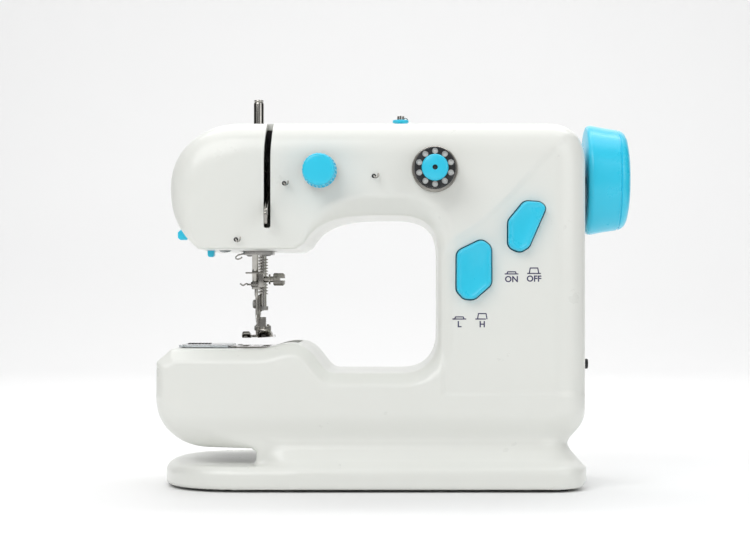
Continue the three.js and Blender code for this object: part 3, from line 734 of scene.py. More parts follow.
def baseFromPlan(dPlan, x, y, z):
    top, under = casing["baseTop"], casing["baseUnder"]
    rim = 4.5
    u = dPlan / rim + 1
    w = (z - top) / rim + 1
    plate = (np.hypot(np.maximum(u, 0), np.maximum(w, 0)) + np.minimum(np.maximum(u, w), 0) - 1) * rim
    plate = np.maximum(plate, (dPlan - z + under + 0.8) * 0.7071)
    plate = np.maximum(plate, under - z)
    spread = 8.2 * np.clip((20.0 - z) / 10.0, 0, 1.1) ** 1.15
    waist, corner = 37.3, 11.0
    left, right = casing["notchRight"] + spread, casing["waistRight"]
    qx = np.abs(x - (left + right) / 2) - (right - left) / 2 + corner
    qy = np.abs(y) - waist + corner
    skirt = np.hypot(np.maximum(qx, 0), np.maximum(qy, 0)) + np.minimum(np.maximum(qx, qy), 0)
    skirt = skirt - corner - spread
    skirt = np.maximum(np.maximum(skirt * 0.8, z - 20.5), under + 2 - z)
    return smoothUnion(plate, skirt, 2.5)


def mouldingAt(x, y, z):
    d, style = outlineDistance(outlinePoints, outlineStyles, x, z)
    dPlan = outlineDistance(planPoints, np.zeros((len(planPoints), 1)), x, y)[0]
    upper = upperFromOutline(d, style, panelRecess(x, z), y, z)
    return smoothUnion(upper, baseFromPlan(dPlan, x, y, z), 2.5)


# The same solid on a whole grid, where the two outlines are measured only once
def mouldingGrid(gx, gy, gz):
    xx, zz = np.meshgrid(gx, gz, indexing="ij")
    d, style = outlineDistance(outlinePoints, outlineStyles, xx.ravel(), zz.ravel())
    recess = panelRecess(xx.ravel(), zz.ravel())
    shape = (len(gx), 1, len(gz))
    px, py = np.meshgrid(gx, gy, indexing="ij")
    dPlan = outlineDistance(planPoints, np.zeros((len(planPoints), 1)), px.ravel(), py.ravel())[0]
    upper = upperFromOutline(d.reshape(shape), style.reshape((*shape, 3)), recess.reshape(shape),
                             gy[None, :, None], gz[None, None, :])
    plate = baseFromPlan(dPlan.reshape(len(gx), len(gy), 1), gx[:, None, None], gy[None, :, None],
                         gz[None, None, :])
    return smoothUnion(upper, plate, 2.5)


# Meshes the zero surface of a grid: one corner in each cell that it crosses, one face for each crossed edge
def surfaceMesh(gx, gy, gz, field):
    inside = field < 0
    shape = np.array(field.shape) - 1
    total = np.zeros((*shape, 3))
    count = np.zeros(shape)
    steps = [np.array(s) for s in ((1, 0, 0), (0, 1, 0), (0, 0, 1))]
    for axis, step in enumerate(steps):
        others = [s for i, s in enumerate(steps) if i != axis]
        for a in (0, 1):
            for b in (0, 1):
                first = a * others[0] + b * others[1]
                second = first + step
                cut = [tuple(slice(o[i], o[i] + shape[i]) for i in range(3)) for o in (first, second)]
                fa, fb = field[cut[0]], field[cut[1]]
                crossed = (fa < 0) != (fb < 0)
                share = np.where(crossed, fa / np.where(fa == fb, 1, fa - fb), 0)
                for i in range(3):
                    total[..., i] += np.where(crossed, first[i] + (share if i == axis else 0), 0)
                count += crossed
    used = count > 0
    number = np.full(tuple(shape), -1)
    number[used] = np.arange(used.sum())
    cells = np.argwhere(used)
    local = cells + total[used] / count[used][:, None]
    origin = np.array([gx[0], gy[0], gz[0]])
    spacing = np.array([gx[1] - gx[0], gy[1] - gy[0], gz[1] - gz[0]])
    corners = origin + local * spacing
    faces = []
    for axis in range(3):
        b, c = (axis + 1) % 3, (axis + 2) % 3
        low = [slice(None)] * 3
        high = [slice(None)] * 3
        low[axis], high[axis] = slice(0, -1), slice(1, None)
        for i in (b, c):
            low[i] = high[i] = slice(1, -1)
        first, second = inside[tuple(low)], inside[tuple(high)]
        crossed = first != second
        at = np.argwhere(crossed)
        at[:, b] += 1
        at[:, c] += 1
        ring = []
        for ob, oc in ((0, 0), (-1, 0), (-1, -1), (0, -1)):
            cell = at.copy()
            cell[:, b] += ob
            cell[:, c] += oc
            ring.append(number[cell[:, 0], cell[:, 1], cell[:, 2]])
        quads = np.stack(ring, 1)
        flip = ~first[crossed]
        quads[flip] = quads[flip][:, ::-1]
        faces.append(quads)
    return corners, np.concatenate(faces)


def gridAxis(low, high, spacing):
    return np.arange(low, high + spacing, spacing)


def onSurface(corners, passes=2):
    nudge = 0.15
    p = corners.copy()
    for _ in range(passes):
        value = mouldingAt(p[:, 0], p[:, 1], p[:, 2])
        slope = np.empty_like(p)
        for axis in range(3):
            moved = p.copy()
            moved[:, axis] += nudge
            slope[:, axis] = (mouldingAt(moved[:, 0], moved[:, 1], moved[:, 2]) - value) / nudge
        size = np.maximum((slope ** 2).sum(1), 0.2)
        move = -slope * (value / size)[:, None]
        longest = np.maximum(np.linalg.norm(move, axis=1), 1e-9)
        p += move * np.minimum(1, 0.5 / longest)[:, None]
    return p


# Front half of the moulding, made a little past the parting plane so that the cut there is crisp
def halfMoulding():
    spacing = casing["grid"]
    past = 3.0
    gx = gridAxis(casing["left"] - 3, casing["right"] + 3, spacing)
    gy = gridAxis(-casing["baseHalf"] - 2, past + 2, spacing)
    gz = gridAxis(-1.0, casing["top"] + 3, spacing)
    field = np.maximum(mouldingGrid(gx, gy, gz), gy[None, :, None] - past)
    corners, faces = surfaceMesh(gx, gy, gz, field)
    free = corners[:, 1] < past - spacing
    corners[free] = onSurface(corners[free])
    return corners, faces


def hollow():
    spacing = 2.5
    gx = gridAxis(casing["left"], casing["right"] + 3, spacing)
    gy = gridAxis(-casing["baseHalf"], 6.0, spacing)
    gz = gridAxis(0.0, casing["top"], spacing)
    field = np.maximum(mouldingGrid(gx, gy, gz) + casing["wall"], gy[None, :, None] - 3.5)
    return surfaceMesh(gx, gy, gz, field)


def asShape(corners, faces):
    return [tuple(c) for c in corners.tolist()], [tuple(f) for f in faces.tolist()]


def mirrored(shape):
    return [(x, -y, z) for x, y, z in shape[0]], [face[::-1] for face in shape[1]]


# The take-up lever's slot leans a little to the right where it meets the top
def takeUpSlot():
    left, right, low = -54.1, -51.2, 111.5
    lean = [(0.9 * float(smoothStep(z, 140.0, 160.0)), z) for z in range(138, 172, 3)]
    corner = 0.9
    foot = circlePoints((left + corner, low + corner), corner, 5, 180, 270)
    foot += circlePoints((right - corner, low + corner), corner, 5, 270, 360)
    return foot + [(right + x, z) for x, z in lean] + [(left + x, z) for x, z in reversed(lean)]


# What is cut from one half: the other half's side, and the openings that this half has
def casingCuts(front):
    c = casing
    far, parting, buttonGap = 60.0, c["partingGap"] / 2, 0.55
    sideHole = (c["right"] - 8, c["right"] + 5, "x")
    topHole = (c["top"] - 8, c["top"] + 5, "z")
    nearY, farY = (-parting, far) if front else (-far, parting)
    cuts = [
        block((-130, nearY, -5), (130, farY, 200)),
        pushed(basePlan(c["wall"] + 0.9), c["baseUnder"] - 3, 4.3, "z"),
        block((-92.4, -18.4, 56.6), (-40.6, 18.4, 70)),  # bobbin well and needle plate
        block((-67.2, -6.0, 95), (-51.8, 12.2, 106.5)),  # bars through the head's underside
        rod(3.4, *sideHole, (0, shaftZ)),
    ]
    if front:
        return cuts + [
            pushed(takeUpSlot(), -far, -26, "y"),
            rod(2.4, 30, far, "front", knobSpot),
            rod(2.6, 30, far, "front", bobbinSpot),
            pushed(grown(softened(speedOutline, buttonCorner), buttonGap), -far, -34, "y"),
            pushed(grown(softened(onOffOutline, buttonCorner), buttonGap), -far, -34, "y"),
            rod(3.4, *sideHole, jackSpot),
            rod(3.2, 95, 107, "z", lampSpot),
            block((-81.6, -12.5, 99), (-77.2, -5.5, 107)),  # lamp switch
            block((-98, -9.3, 107), (-89.8, -5.3, 112.4)),  # thread cutter
        ]
    cuts += [rod(3.0, *topHole, spoolSpot), rod(2.4, *topHole, winderSpot),
             rod(3.0, -50, -30, "front", lifterSpot)]
    return cuts + [rod(1.8, -50, -30, "front", (caseScrewX, z)) for z in caseScrewHeights.values()]


def makeShells():
    skin = asShape(*halfMoulding())
    print("moulding meshed:", len(skin[1]), "faces")
    inner = asShape(*hollow())
    for name, node, front in (("front_casing", "front_shell", True), ("rear_casing", "rear_shell", False)):
        shell = newMesh(name, skin if front else mirrored(skin))
        carve(shell, [inner if front else mirrored(inner)] + casingCuts(front))
        settle(shell, 34.0)
        belongs(shell, white, "machine", [node])
        print(name, len(shell.data.polygons), "faces")


# Base: cover plate with ribs and vents, battery door and feet

def makeBase():
    base = {"plateLow": 2.4, "plateHigh": 3.9, "opening": (3, 63, 27)}
    vent = {"count": 7, "first": -44, "step": 4.2, "width": 1.7}
    left, right, half = base["opening"]
    cuts = [block((left, -half, -1), (right, half, 9))]
    for i in range(vent["count"]):
        x = vent["first"] + i * vent["step"]
        slot = roundedBox(x, x + vent["width"], -13, 13, vent["width"] / 2 - 0.02, 4)
        cuts.append(pushed(slot, 0, 9, "z"))
    plan = basePlan(casing["wall"] + 1.2)
    newPiece("underside_cover", [pushed(plan, base["plateLow"], base["plateHigh"], "z")], white, "machine",
             ["bottom_plate"], 0.25, cuts)

    door = {"size": (0, 66, 30), "low": 0.9, "high": 2.1, "ridges": 6, "ridgeStep": 2.6}
    left, right, half = door["size"]
    shapes = [pushed(roundedBox(left, right, -half, half, 3), door["low"], door["high"], "z")]
    for i in range(door["ridges"]):
        x = right - 22 + i * door["ridgeStep"]
        ridge = roundedBox(x, x + 1.1, -9, 9, 0.5, 4)
        shapes.append(pushed(ridge, door["low"] - 0.4, door["low"] + 0.2, "z"))
    arrow = [(right - 4, 0), (right - 8, 3.4), (right - 8, -3.4)]
    cut = pushed(softened(arrow, 0.5), door["low"] - 1, door["low"] + 0.35, "z")
    newPiece("battery_door", shapes, white, "battery_cover_body", ["battery_cover"], 0.2,
             [cut])

    foot = [(0, 0.45), (1.7, 0.4), (2.1, 0.0), (3.9, 0.0), (4.45, 0.22), (4.75, 0.7), (4.8, 2.1), (0, 2.1)]
    for name in ("front_left", "front_right", "rear_left", "rear_right"):
        low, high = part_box("rubber_foot_" + name)
        spot = [(low[i] + high[i]) / 2 / millimetre for i in (0, 1)]
        spot[0] -= sideways
        newPiece("foot_" + name, [turned(foot, "z", spot, 40)], rubber, "machine", ["rubber_foot_" + name],
                 0.12)


# Handwheel: a smooth skirt, a fine ring groove and a domed crown

def makeHandwheel():
    profile = [(0, 95.8), (2.9, 95.8), (2.9, 85.4), (22.4, 85.4), (23.4, 85.7), (24.0, 86.5), (24.2, 87.4),
               (24.15, 87.8), (24.1, 88.4), (23.2, 93), (22.5, 97.6), (22.4, 98.2), (22.35, 98.6),
               (22.2, 99.3), (21.75, 99.5), (21.7, 99.9), (22.0, 100.2), (21.6, 101.3), (20.6, 102.5),
               (18.8, 103.4), (15.5, 104.1), (10, 104.7), (5, 104.95), (0, 105)]
    newPiece("hand_wheel", [turned(profile, "x", (0, shaftZ), 160)], cyan, "handwheel_set", ["handwheel"],
             0, sharp=50)


# Needle bar with its clamp, thumb screw and needle

def makeNeedle():
    barBore, needleAt = 1.62, (needleX + 0.5, 0)
    bar = [(0, clampZ + 0.8), (1.2, clampZ + 0.8), (1.45, clampZ + 1.1), (1.45, 149.6), (1.1, 150), (0, 150)]
    newPiece("needle_rod", [turned(bar, "z", (needleX, 0), 40)], drawnChrome, "needle_bar_set",
             ["needle_bar"])

    clamp = {"low": clampZ - 0.4, "plateTop": 93.2, "plate": 0.7, "right": -57.0, "half": 2.6}
    low, plateTop, right, half = clamp["low"], clamp["plateTop"], clamp["right"], clamp["half"]
    bores = [rod(barBore, clampZ + 0.8, 110, "z", (needleX, 0), 40),
             rod(0.86, 80, clampZ + 3, "z", needleAt, 24),
             rod(1.35, needleX + 2, needleX + 7, "x", (0, clampZ + 4), 24)]
    # Two small holes through the lower plate's left end
    for spot in ((-63.6, 1.3), (-62.9, -1.4)):
        bores.append(rod(0.28, low + 1, low + 4, "z", spot, 12))
    wave = [(-64.0 - 0.45 * i, -1.7 - 0.09 * i, low + 2.1 + 0.42 * math.sin(i * 0.95)) for i in range(9)]
    holder = pushed(roundedBox(-59.75, right, -half, half, 0.5, 3), low + 1, plateTop - 0.4, "z")
    plan = roundedBox(-65.2, right + 0.3, -2.3, 2.3, 0.8, 4)
    topPlate = pushed(plan, plateTop - clamp["plate"], plateTop, "z")
    collar = tubeRing(barBore, 2.0, low + 1.2, low + 3.2, "z", (needleX, 0), 40)
    lowerPlate = pushed(roundedBox(-64.6, -56.6, -2.4, 2.4, 0.9, 4), low + 1.7, low + 2.5, "z")
    socket = pushed(roundedBox(-62.4, -58.6, -2.0, 2.0, 0.6, 4), low, low + 2.2, "z")
    parts = [
        ("needle_holder", holder, ["needle_clamp"], 0.16, bores),
        ("needle_holder_top_plate", topPlate, (), 0.12, bores),
        ("needle_holder_collar", collar, (), 0, ()),
        ("needle_holder_lower_plate", lowerPlate, (), 0.12, bores),
        ("needle_holder_socket", socket, (), 0.12, bores),
        ("needle_holder_wire", wire(wave, 0.33, 10), (), 0, ()),
    ]
    for name, shape, nodes, bevel, cutters in parts:
        newPiece(name, [shape], chrome, "needle_bar_set", nodes, bevel, cutters)

    blade = [(0, 70.2), (0.12, 70.7), (0.3, 72.0), (0.42, 74.2), (0.42, 81), (0.55, 82.0), (0.8, 83.0),
             (0.8, 86.0), (0, 86.2)]
    middle = needleAt[0]
    eye = block((middle - 0.14, -2, 73.0), (middle + 0.14, 2, 74.1))
    groove = block((middle - 0.1, -1, 74.1), (middle + 0.1, -0.3, 82))
    newPiece("sewing_needle", [turned(blade, "z", needleAt, 28)], drawnChrome, "needle_bar_set", ["needle"],
             0, [eye, groove])

    screw = {"ridges": 22, "depth": 0.22, "left": -52.6, "right": -48.6}
    head = [(0, -58.4), (1.2, -58.4), (1.2, -54.9), (2.3, -54.9), (2.3, -54.2), (1.35, -54.1), (1.35, -53.0),
            (2.45, -52.9), (2.8, -52.5), (2.8, -48.7), (2.5, -48.2), (2.1, -47.8), (0, -47.8)]

    def knurl(radius, height, share):
        if radius < 2.6 or not screw["left"] < height < screw["right"]:
            return radius
        return radius - screw["depth"] * (0.5 + 0.5 * math.cos(2 * math.pi * share * screw["ridges"]))

    slot = block((-49.9, -4, clampZ + 3.5), (-47, 4, clampZ + 4.5))
    newPiece("needle_screw", [turned(head, "x", (0, clampZ + 4), 132, knurl)], chrome, "clamp_screw_body",
             ["clamp_screw"], 0, [slot], 50)


# Presser bar, its coil spring, ankle and screw

def makePresser():
    x, y, radius = presser["x"], presser["y"], presser["radius"]
    profile = [(0, 75.5), (1.3, 75.5), (radius, 75.9), (radius, 137.6), (1.2, 138), (0, 138)]
    # The bar's lower end is cut off at a slant
    slant = pushed([(x - 4, 73), (x + 4, 73), (x + 4, 77.6), (x - 1.0, 75.6), (x - 4, 75.6)], 0, 14, "y")
    newPiece("presser_rod", [turned(profile, "z", (x, y), 40)], drawnChrome, "presser_bar_set",
             ["presser_bar"], 0, [slant])

    coil = {"low": 83.6, "high": 99.9, "pitch": 1.28, "wire": 0.3, "radius": 2.02, "perTurn": 22}
    length = coil["high"] - coil["low"]
    coils = length / coil["pitch"]
    count = int(coils * coil["perTurn"])
    path = []
    for i in range(count + 1):
        share = i / count
        angle = 2 * math.pi * coils * share
        # The middle turns lie a little closer together than the end ones
        rise = coil["low"] + length * (share + 0.018 * math.sin(2 * math.pi * share) / 2)
        path.append((x + coil["radius"] * math.cos(angle), y + coil["radius"] * math.sin(angle), rise))
    spring = newPiece("presser_coil", [wire(path, coil["wire"], 8)], drawnChrome, "presser_bar_set",
                      ["presser_spring"], 0, sharp=60)
    # The spring rides on two bodies, so it is let go from the bar first
    spring.parent = None
    spring.matrix_world = Matrix.Identity(4)
    del spring["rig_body"]
    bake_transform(spring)

    # The ankle is a stamped plate beside the bar that narrows to a tongue for the foot's hinge
    plate = [(y - 3, 83), (y + 3, 83), (y + 3, 77), (y + 2.2, 74.6), (y + 1.0, 72.2), (y + 0.4, 66.9),
             (y - 2.6, 66.8), (y - 3.0, 69), (y - 2.2, 72.4), (y - 3, 76)]
    tongue = [(y - 2.7, 73.2), (y + 0.6, 73.2), (y + 0.3, 67.4), (y - 0.6, 66.7), (y - 2.0, 66.7),
              (y - 2.8, 67.8)]
    boltHole = rod(1.1, x - 6, x, "x", (y, ankleBoltZ), 20)
    pinHole = rod(0.92, x - 4, x + 3, "x", footPin, 20)
    barHole = rod(radius + 0.1, 74, 90, "z", (x, y))
    newPiece("ankle_plate", [pushed(softened(plate, 0.8, 4), x - 2.5, x - 1.0, "x")], chrome,
             "presser_bar_set", ["ankle"], 0.15, [barHole, boltHole, pinHole])
    newPiece("ankle_tongue", [pushed(softened(tongue, 0.6, 4), x - 1.4, x + 1.5, "x")], chrome,
             "presser_bar_set", (), 0.15, [pinHole])
    newPiece("ankle_collar", [tubeRing(radius + 0.1, 2.35, 76.2, 78.0, "z", (x, y), 40)], steel,
             "presser_bar_set", (), 0.1)
    head = [(0, x - 4.6), (1.3, x - 4.6), (1.8, x - 4.4), (2.0, x - 4.0), (2.0, x - 2.8), (1.8, x - 2.55),
            (1.0, x - 2.5), (1.0, x - 1.9), (0, x - 1.9)]
    slot = block((x - 5, y - 0.35, 76), (x - 4.0, y + 0.35, 82))
    newPiece("ankle_bolt", [turned(head, "x", (y, ankleBoltZ), 40)], steel, "presser_bar_set",
             ["ankle_screw"], 0, [slot])


# Presser foot: two toes that curl up, a needle slot between them, and its hinge pin

def makeFoot():
    foot = {"left": -65.9, "right": -52.5, "sole": 64.2, "thick": 1.1, "sweepFrom": -57.5, "sweep": 0.055}
    sole, thick, x = foot["sole"], foot["thick"], presser["x"]
    flat = sole + thick
    top = [(10, flat), (-6.5, flat)]
    top += bezier((-6.5, flat), (-10, flat), (-12, sole + 1.9), (-14.1, sole + 3.7), 8)
    bottom = bezier((-14.6, sole + 3.1), (-12.4, sole + 0.9), (-11, sole), (-8, sole), 8)
    side = top + [(-14.6, sole + 3.1)] + bottom + [(10, sole)]
    # Plan: a narrow square left toe, and a longer right toe that tapers to a rounded point
    plan = [(-65.9, -11.6), (-65.2, -13.2), (-62.4, -13.2), (-61.9, -11.2), (-61.9, 2.6), (-59.1, 2.6),
            (-59.1, -12.4), (-57.6, -14.2), (-55.0, -14.6), (-53.2, -12.6), (-52.5, -9.0), (-52.5, 8.4),
            (-54.1, 10), (-64.3, 10), (-65.9, 8.4)]
    outside = [(-80, -25), (-40, -25), (-40, 20), (-80, 20)]
    # What lies outside the plan is cut away, as a frame made of the outside with the plan's shape in it
    around = newMesh("frame", pushed(outside, sole - 2, sole + 8, "z"))
    carve(around, [pushed(softened(plan, 0.7, 4), sole - 4, sole + 10, "z")])
    shape = newMesh("presser_sole", pushed(side, foot["left"], foot["right"], "x"))
    cutAway(shape, around)
    # The right toe's outer edge sweeps up
    for corner in shape.data.vertices:
        out = max(corner.co.x / millimetre - sideways - foot["sweepFrom"], 0.0)
        ahead = smoothStep(-corner.co.y / millimetre, 4.0, 13.0)
        corner.co.z += millimetre * foot["sweep"] * out ** 2 * ahead
    bevelEdges(shape, 0.14, 2, 45)
    settle(shape)
    belongs(shape, chrome, "presser_foot_body", ["presser_foot"])
    ear = [(3.2, sole + 0.6), (7.4, sole + 0.6), (7.0, 68.9), (6.2, 70.0), (4.2, 70.0), (3.4, 68.9)]
    for label, start in (("left", x - 3.0), ("right", x + 1.9)):
        newPiece("foot_ear_" + label, [pushed(softened(ear, 0.6, 4), start, start + 1.1, "x")], chrome,
                 "presser_foot_body", (), 0.12)
    pin = [(0, x - 3.7), (0.9, x - 3.7), (1.15, x - 3.5), (1.15, x - 3.1), (0.8, x - 3.05), (0.8, x + 3.05),
           (1.15, x + 3.1), (1.15, x + 3.5), (0.9, x + 3.7), (0, x + 3.7)]
    newPiece("foot_pin", [turned(pin, "x", footPin, 28)], steel, "presser_foot_body", ())


# Lever at the back that lifts the presser bar

def makeLifter():
    lifter = {"length": 22.0, "half": 4.0, "waist": 0.9, "steps": 14}
    x, z = lifterSpot
    end, steps = x + lifter["length"], lifter["steps"]
    hub = [(0, -47.0), (3.2, -47.0), (4.2, -46.4), (4.4, -45.6), (4.4, -41.0), (2.6, -41.0), (2.6, -18),
           (5, -18), (5, -14), (0, -14)]
    newPiece("lifter_hub", [turned(hub, "front", lifterSpot, 40)], white, "lifter", ["presser_lifter"])
    # The arm's two long edges draw in a little towards their middle
    edge = []
    for i in range(steps + 1):
        share = i / steps
        edge.append((x + share * (end - 3 - x), lifter["half"] - lifter["waist"] * math.sin(math.pi * share)))
    outline = [(px, z + rise) for px, rise in edge]
    outline += circlePoints((end - 4, z), lifter["half"], 10, 70, -70)
    outline += [(px, z - rise) for px, rise in reversed(edge)]
    newPiece("lifter_arm", [pushed(outline, 41.7, 45.5, "y")], white, "lifter", (), 0.6)
    tab = [(end - 9, z - 3.6), (end - 1.4, z - 3.6), (end - 0.1, z), (end - 1.4, z + 3.6), (end - 9, z + 3.6)]
    newPiece("lifter_tab", [pushed(softened(tab, 1.4, 4), 45.0, 54.0, "y")], white, "lifter", (),
             0.7)


# Plate that guides the two bars under the head, with a loop for the thread

def makeBushing():
    plate = pushed(roundedBox(-66, -53, -5, 11, 1.4, 4), 100.9, 104.1, "z")
    bores = [rod(1.6, 90, 110, "z", (needleX, 0)),
             rod(presser["radius"] + 0.15, 90, 110, "z", (presser["x"], presser["y"]))]
    newPiece("bar_guide", [plate], steel, "machine", ["bushing_plate"], 0.2, bores)
    dome = [(0, 101.1), (1.5, 101.0), (1.5, 100.7), (1.1, 100.35), (0, 100.2)]
    for label, x, y in (("1", -64.1, 8.2), ("2", -55.2, -2.6)):
        slot = block((x - 2, y - 0.22, 99.5), (x + 2, y + 0.22, 100.6))
        newPiece("bar_guide_screw_" + label, [turned(dome, "z", (x, y), 28)], steel, "machine", (),
                 0, [slot])
    loop = [(-65.2, -3.0, 101.2), (-66.6, -3.2, 101.2), (-68.4, -3.4, 100.7), (-69.4, -3.4, 99.8),
            (-69.3, -3.3, 99.1), (-68.4, -3.2, 98.9), (-67.3, -3.1, 99.2), (-66.6, -3.0, 99.9)]
    newPiece("thread_loop", [wire(loop, 0.33, 10)], chrome, "machine", ())


# Take-up lever: flat stamped arm with a threading eye open to one side

def makeTakeUp():
    lever = {"x": -52.65, "pivot": (-12, 137), "eye": (-46, 117), "half": 0.6}
    x, pivot, eye = lever["x"], lever["pivot"], lever["eye"]
    side = circlePoints(pivot, 3.2, 12, -35, 125)
    side += [(-26, 130.5), (-38, 123.6), (-45, 120.4), (-47.5, 119.0)]
    side += circlePoints(eye, 2.2, 6, 140, 200)
    # Past the eye the arm hangs down as a short tail
    side += [(-47.6, 113.9), (-46.9, 113.0), (-46.0, 113.3), (-44.6, 115.3), (-43.4, 116.4), (-38, 118.6),
             (-26, 124.5)]
    # A narrow throat lets the thread slip into the eye
    throat = block((-60, -49.5, 118.0), (-40, -46.2, 118.5))
    cuts = [rod(0.85, -60, -40, "x", eye, 20), rod(1.4, -60, -40, "x", pivot, 20), throat]
    newPiece("take_up_arm", [pushed(side, x - lever["half"], x + lever["half"], "x")], chrome, "take_up",
             ["take_up_lever"], 0.15, cuts)


# Tension: stud, two dished discs and the ribbed dial

def makeTension():
    stud = [(0, 34), (1.8, 34), (1.8, 50.4), (1.5, 50.9), (0, 51)]
    newPiece("tension_post", [turned(stud, "front", knobSpot, 32)], steel, "machine", ["tension_stud"])
    for name, start in (("inner", 40.4), ("outer", 41.8)):
        disc = [(2.1, start), (4.8, start), (5.8, start + 0.12), (6.6, start + 0.5), (7.0, start + 0.75),
                (7.0, start + 0.95), (6.5, start + 0.8), (5.7, start + 0.5), (4.8, start + 0.4),
                (2.1, start + 0.4)]
        newPiece("tension_plate_" + name, [turned(disc, "front", knobSpot, 64)], chrome, "machine",
                 ["tension_disc_" + name])

    dial = {"ribs": 26, "radius": 7.3, "front": 54.0, "back": 43.2, "grooveDepth": 0.55, "grooveEnd": 52.9}
    r, back, front = dial["radius"], dial["back"], dial["front"]
    profile = [(0, 51.4), (2.1, 51.4), (2.1, back), (r - 0.5, back), (r - 0.1, back + 0.25), (r, back + 0.8),
               (r, back + 0.95), (r - 0.05, 45), (r - 0.12, 47), (r - 0.2, 49), (r - 0.28, 51),
               (r - 0.36, 52.2), (r - 0.5, 52.6), (r - 0.62, 53.1), (r - 0.95, 53.6), (r - 1.5, 53.88),
               (r - 2.2, front), (0, front)]

    def rib(radius, height, share):
        if radius < 5 or not back + 0.9 < height < dial["grooveEnd"]:
            return radius
        across = abs((share * dial["ribs"]) % 1 - 0.5)
        return radius - dial["grooveDepth"] * float(smoothStep(across, 0.30, 0.20))

    newPiece("tension_dial", [turned(profile, "front", knobSpot, dial["ribs"] * 12, rib)], cyan,
             "tension_knob_body", ["tension_knob"], 0, (), 50)


# Bobbin on the front: seat, spindle, holed flanges, wound thread and cap

def makeFrontBobbin():
    bobbin = {"holes": 10, "holeRadius": 1.25, "holeRing": 6.95, "flange": 8.6, "bore": 2.4}
    seat = [(0, 40.3), (9.8, 40.3), (9.8, 41.0), (9.5, 41.4), (8.6, 41.5), (8.2, 41.2), (3.2, 41.2),
            (2.6, 41.5), (2.2, 41.5), (2.2, 50.6), (1.9, 51), (0, 51)]
    newPiece("bobbin_seat", [turned(seat, "front", bobbinSpot, 72)], chrome, "machine", ["bobbin_spindle"])
    bore, r = bobbin["bore"], bobbin["flange"]
    reel = [(bore, 41.9), (r - 0.2, 41.9), (r, 42.1), (r, 42.7), (r - 0.2, 42.9), (3.4, 42.9), (3.4, 50.3),
            (r - 0.2, 50.3), (r, 50.45), (r, 50.8), (r - 0.2, 51), (bore, 51)]
    holes = []
    for i in range(bobbin["holes"]):
        angle = 2 * math.pi * (i + 0.5) / bobbin["holes"]
        spot = (bobbinSpot[0] + bobbin["holeRing"] * math.cos(angle),
                bobbinSpot[1] + bobbin["holeRing"] * math.sin(angle))
        holes.append(rod(bobbin["holeRadius"], 40, 53, "front", spot, 24))
    newPiece("bobbin_reel", [turned(reel, "front", bobbinSpot, 72)], black, "upper_bobbin", ["front_bobbin"],
             0.08, holes)

    # The wound thread swells and dips a little from turn to turn
    winding = {"turns": 26, "back": 43.0, "front": 50.2, "core": 3.5, "radius": 8.0}
    back, front, core = winding["back"], winding["front"], winding["core"]
    profile = [(core, back)]
    for i in range(winding["turns"] + 1):
        swell = 0.13 * math.cos(math.pi * i) + 0.1 * math.sin(i * 0.7)
        profile.append((winding["radius"] + swell, back + (front - back) * i / winding["turns"]))
    profile.append((core, front))
    newPiece("bobbin_winding", [turned(profile, "front", bobbinSpot, 64)], thread, "upper_bobbin",
             ["bobbin_thread"], 0, sharp=60)

    cap = [(0, 51.9), (1.1, 51.9), (1.1, 53.0), (1.35, 53.2), (4.6, 53.1), (5.2, 52.8), (5.55, 52.3),
           (5.6, 51.3), (0, 51.3)]
    newPiece("bobbin_cap", [turned(cap, "front", bobbinSpot, 64)], cyan, "upper_bobbin", ["spindle_cap"])
    # A black disc at the bottom of the cap's shallow centre opening is painted shade, so that the opening
    # reads dark
    paintedShadeDisc = [(0, 51.85), (1.08, 51.85), (1.08, 52.2), (0, 52.3)]
    newPiece("bobbin_cap_painted_shade", [turned(paintedShadeDisc, "front", bobbinSpot, 32)], black, "upper_bobbin", ())


# Thread guides: bent wire hooks, each from its own small round socket

def makeGuides():
    socket = [(0, 39.2), (0.95, 39.2), (0.95, 40.1), (0.75, 40.25), (0, 40.25)]
    for name, x, z, size in (("right", -7.4, 133.5, 1.9), ("middle", -45.4, 130.4, 1.7),
                             ("lower", -65.8, 106.6, 1.9)):
        path = [(x, -39.6, z), (x, -41.4, z), (x + 0.15 * size, -42.5, z - 0.2 * size),
                (x + 0.5 * size, -42.8, z - 0.5 * size), (x + 0.85 * size, -42.4, z - 0.35 * size),
                (x + size, -41.6, z), (x + size, -40.9, z + 0.5 * size)]
        newPiece("guide_" + name, [wire(path, 0.36, 10)], chrome, "machine", ["thread_guide_" + name])
        newPiece("guide_socket_" + name, [turned(socket, "front", (x, z), 24)], black, "machine", ())


# Spool pin in its sleeve, and the bobbin winder

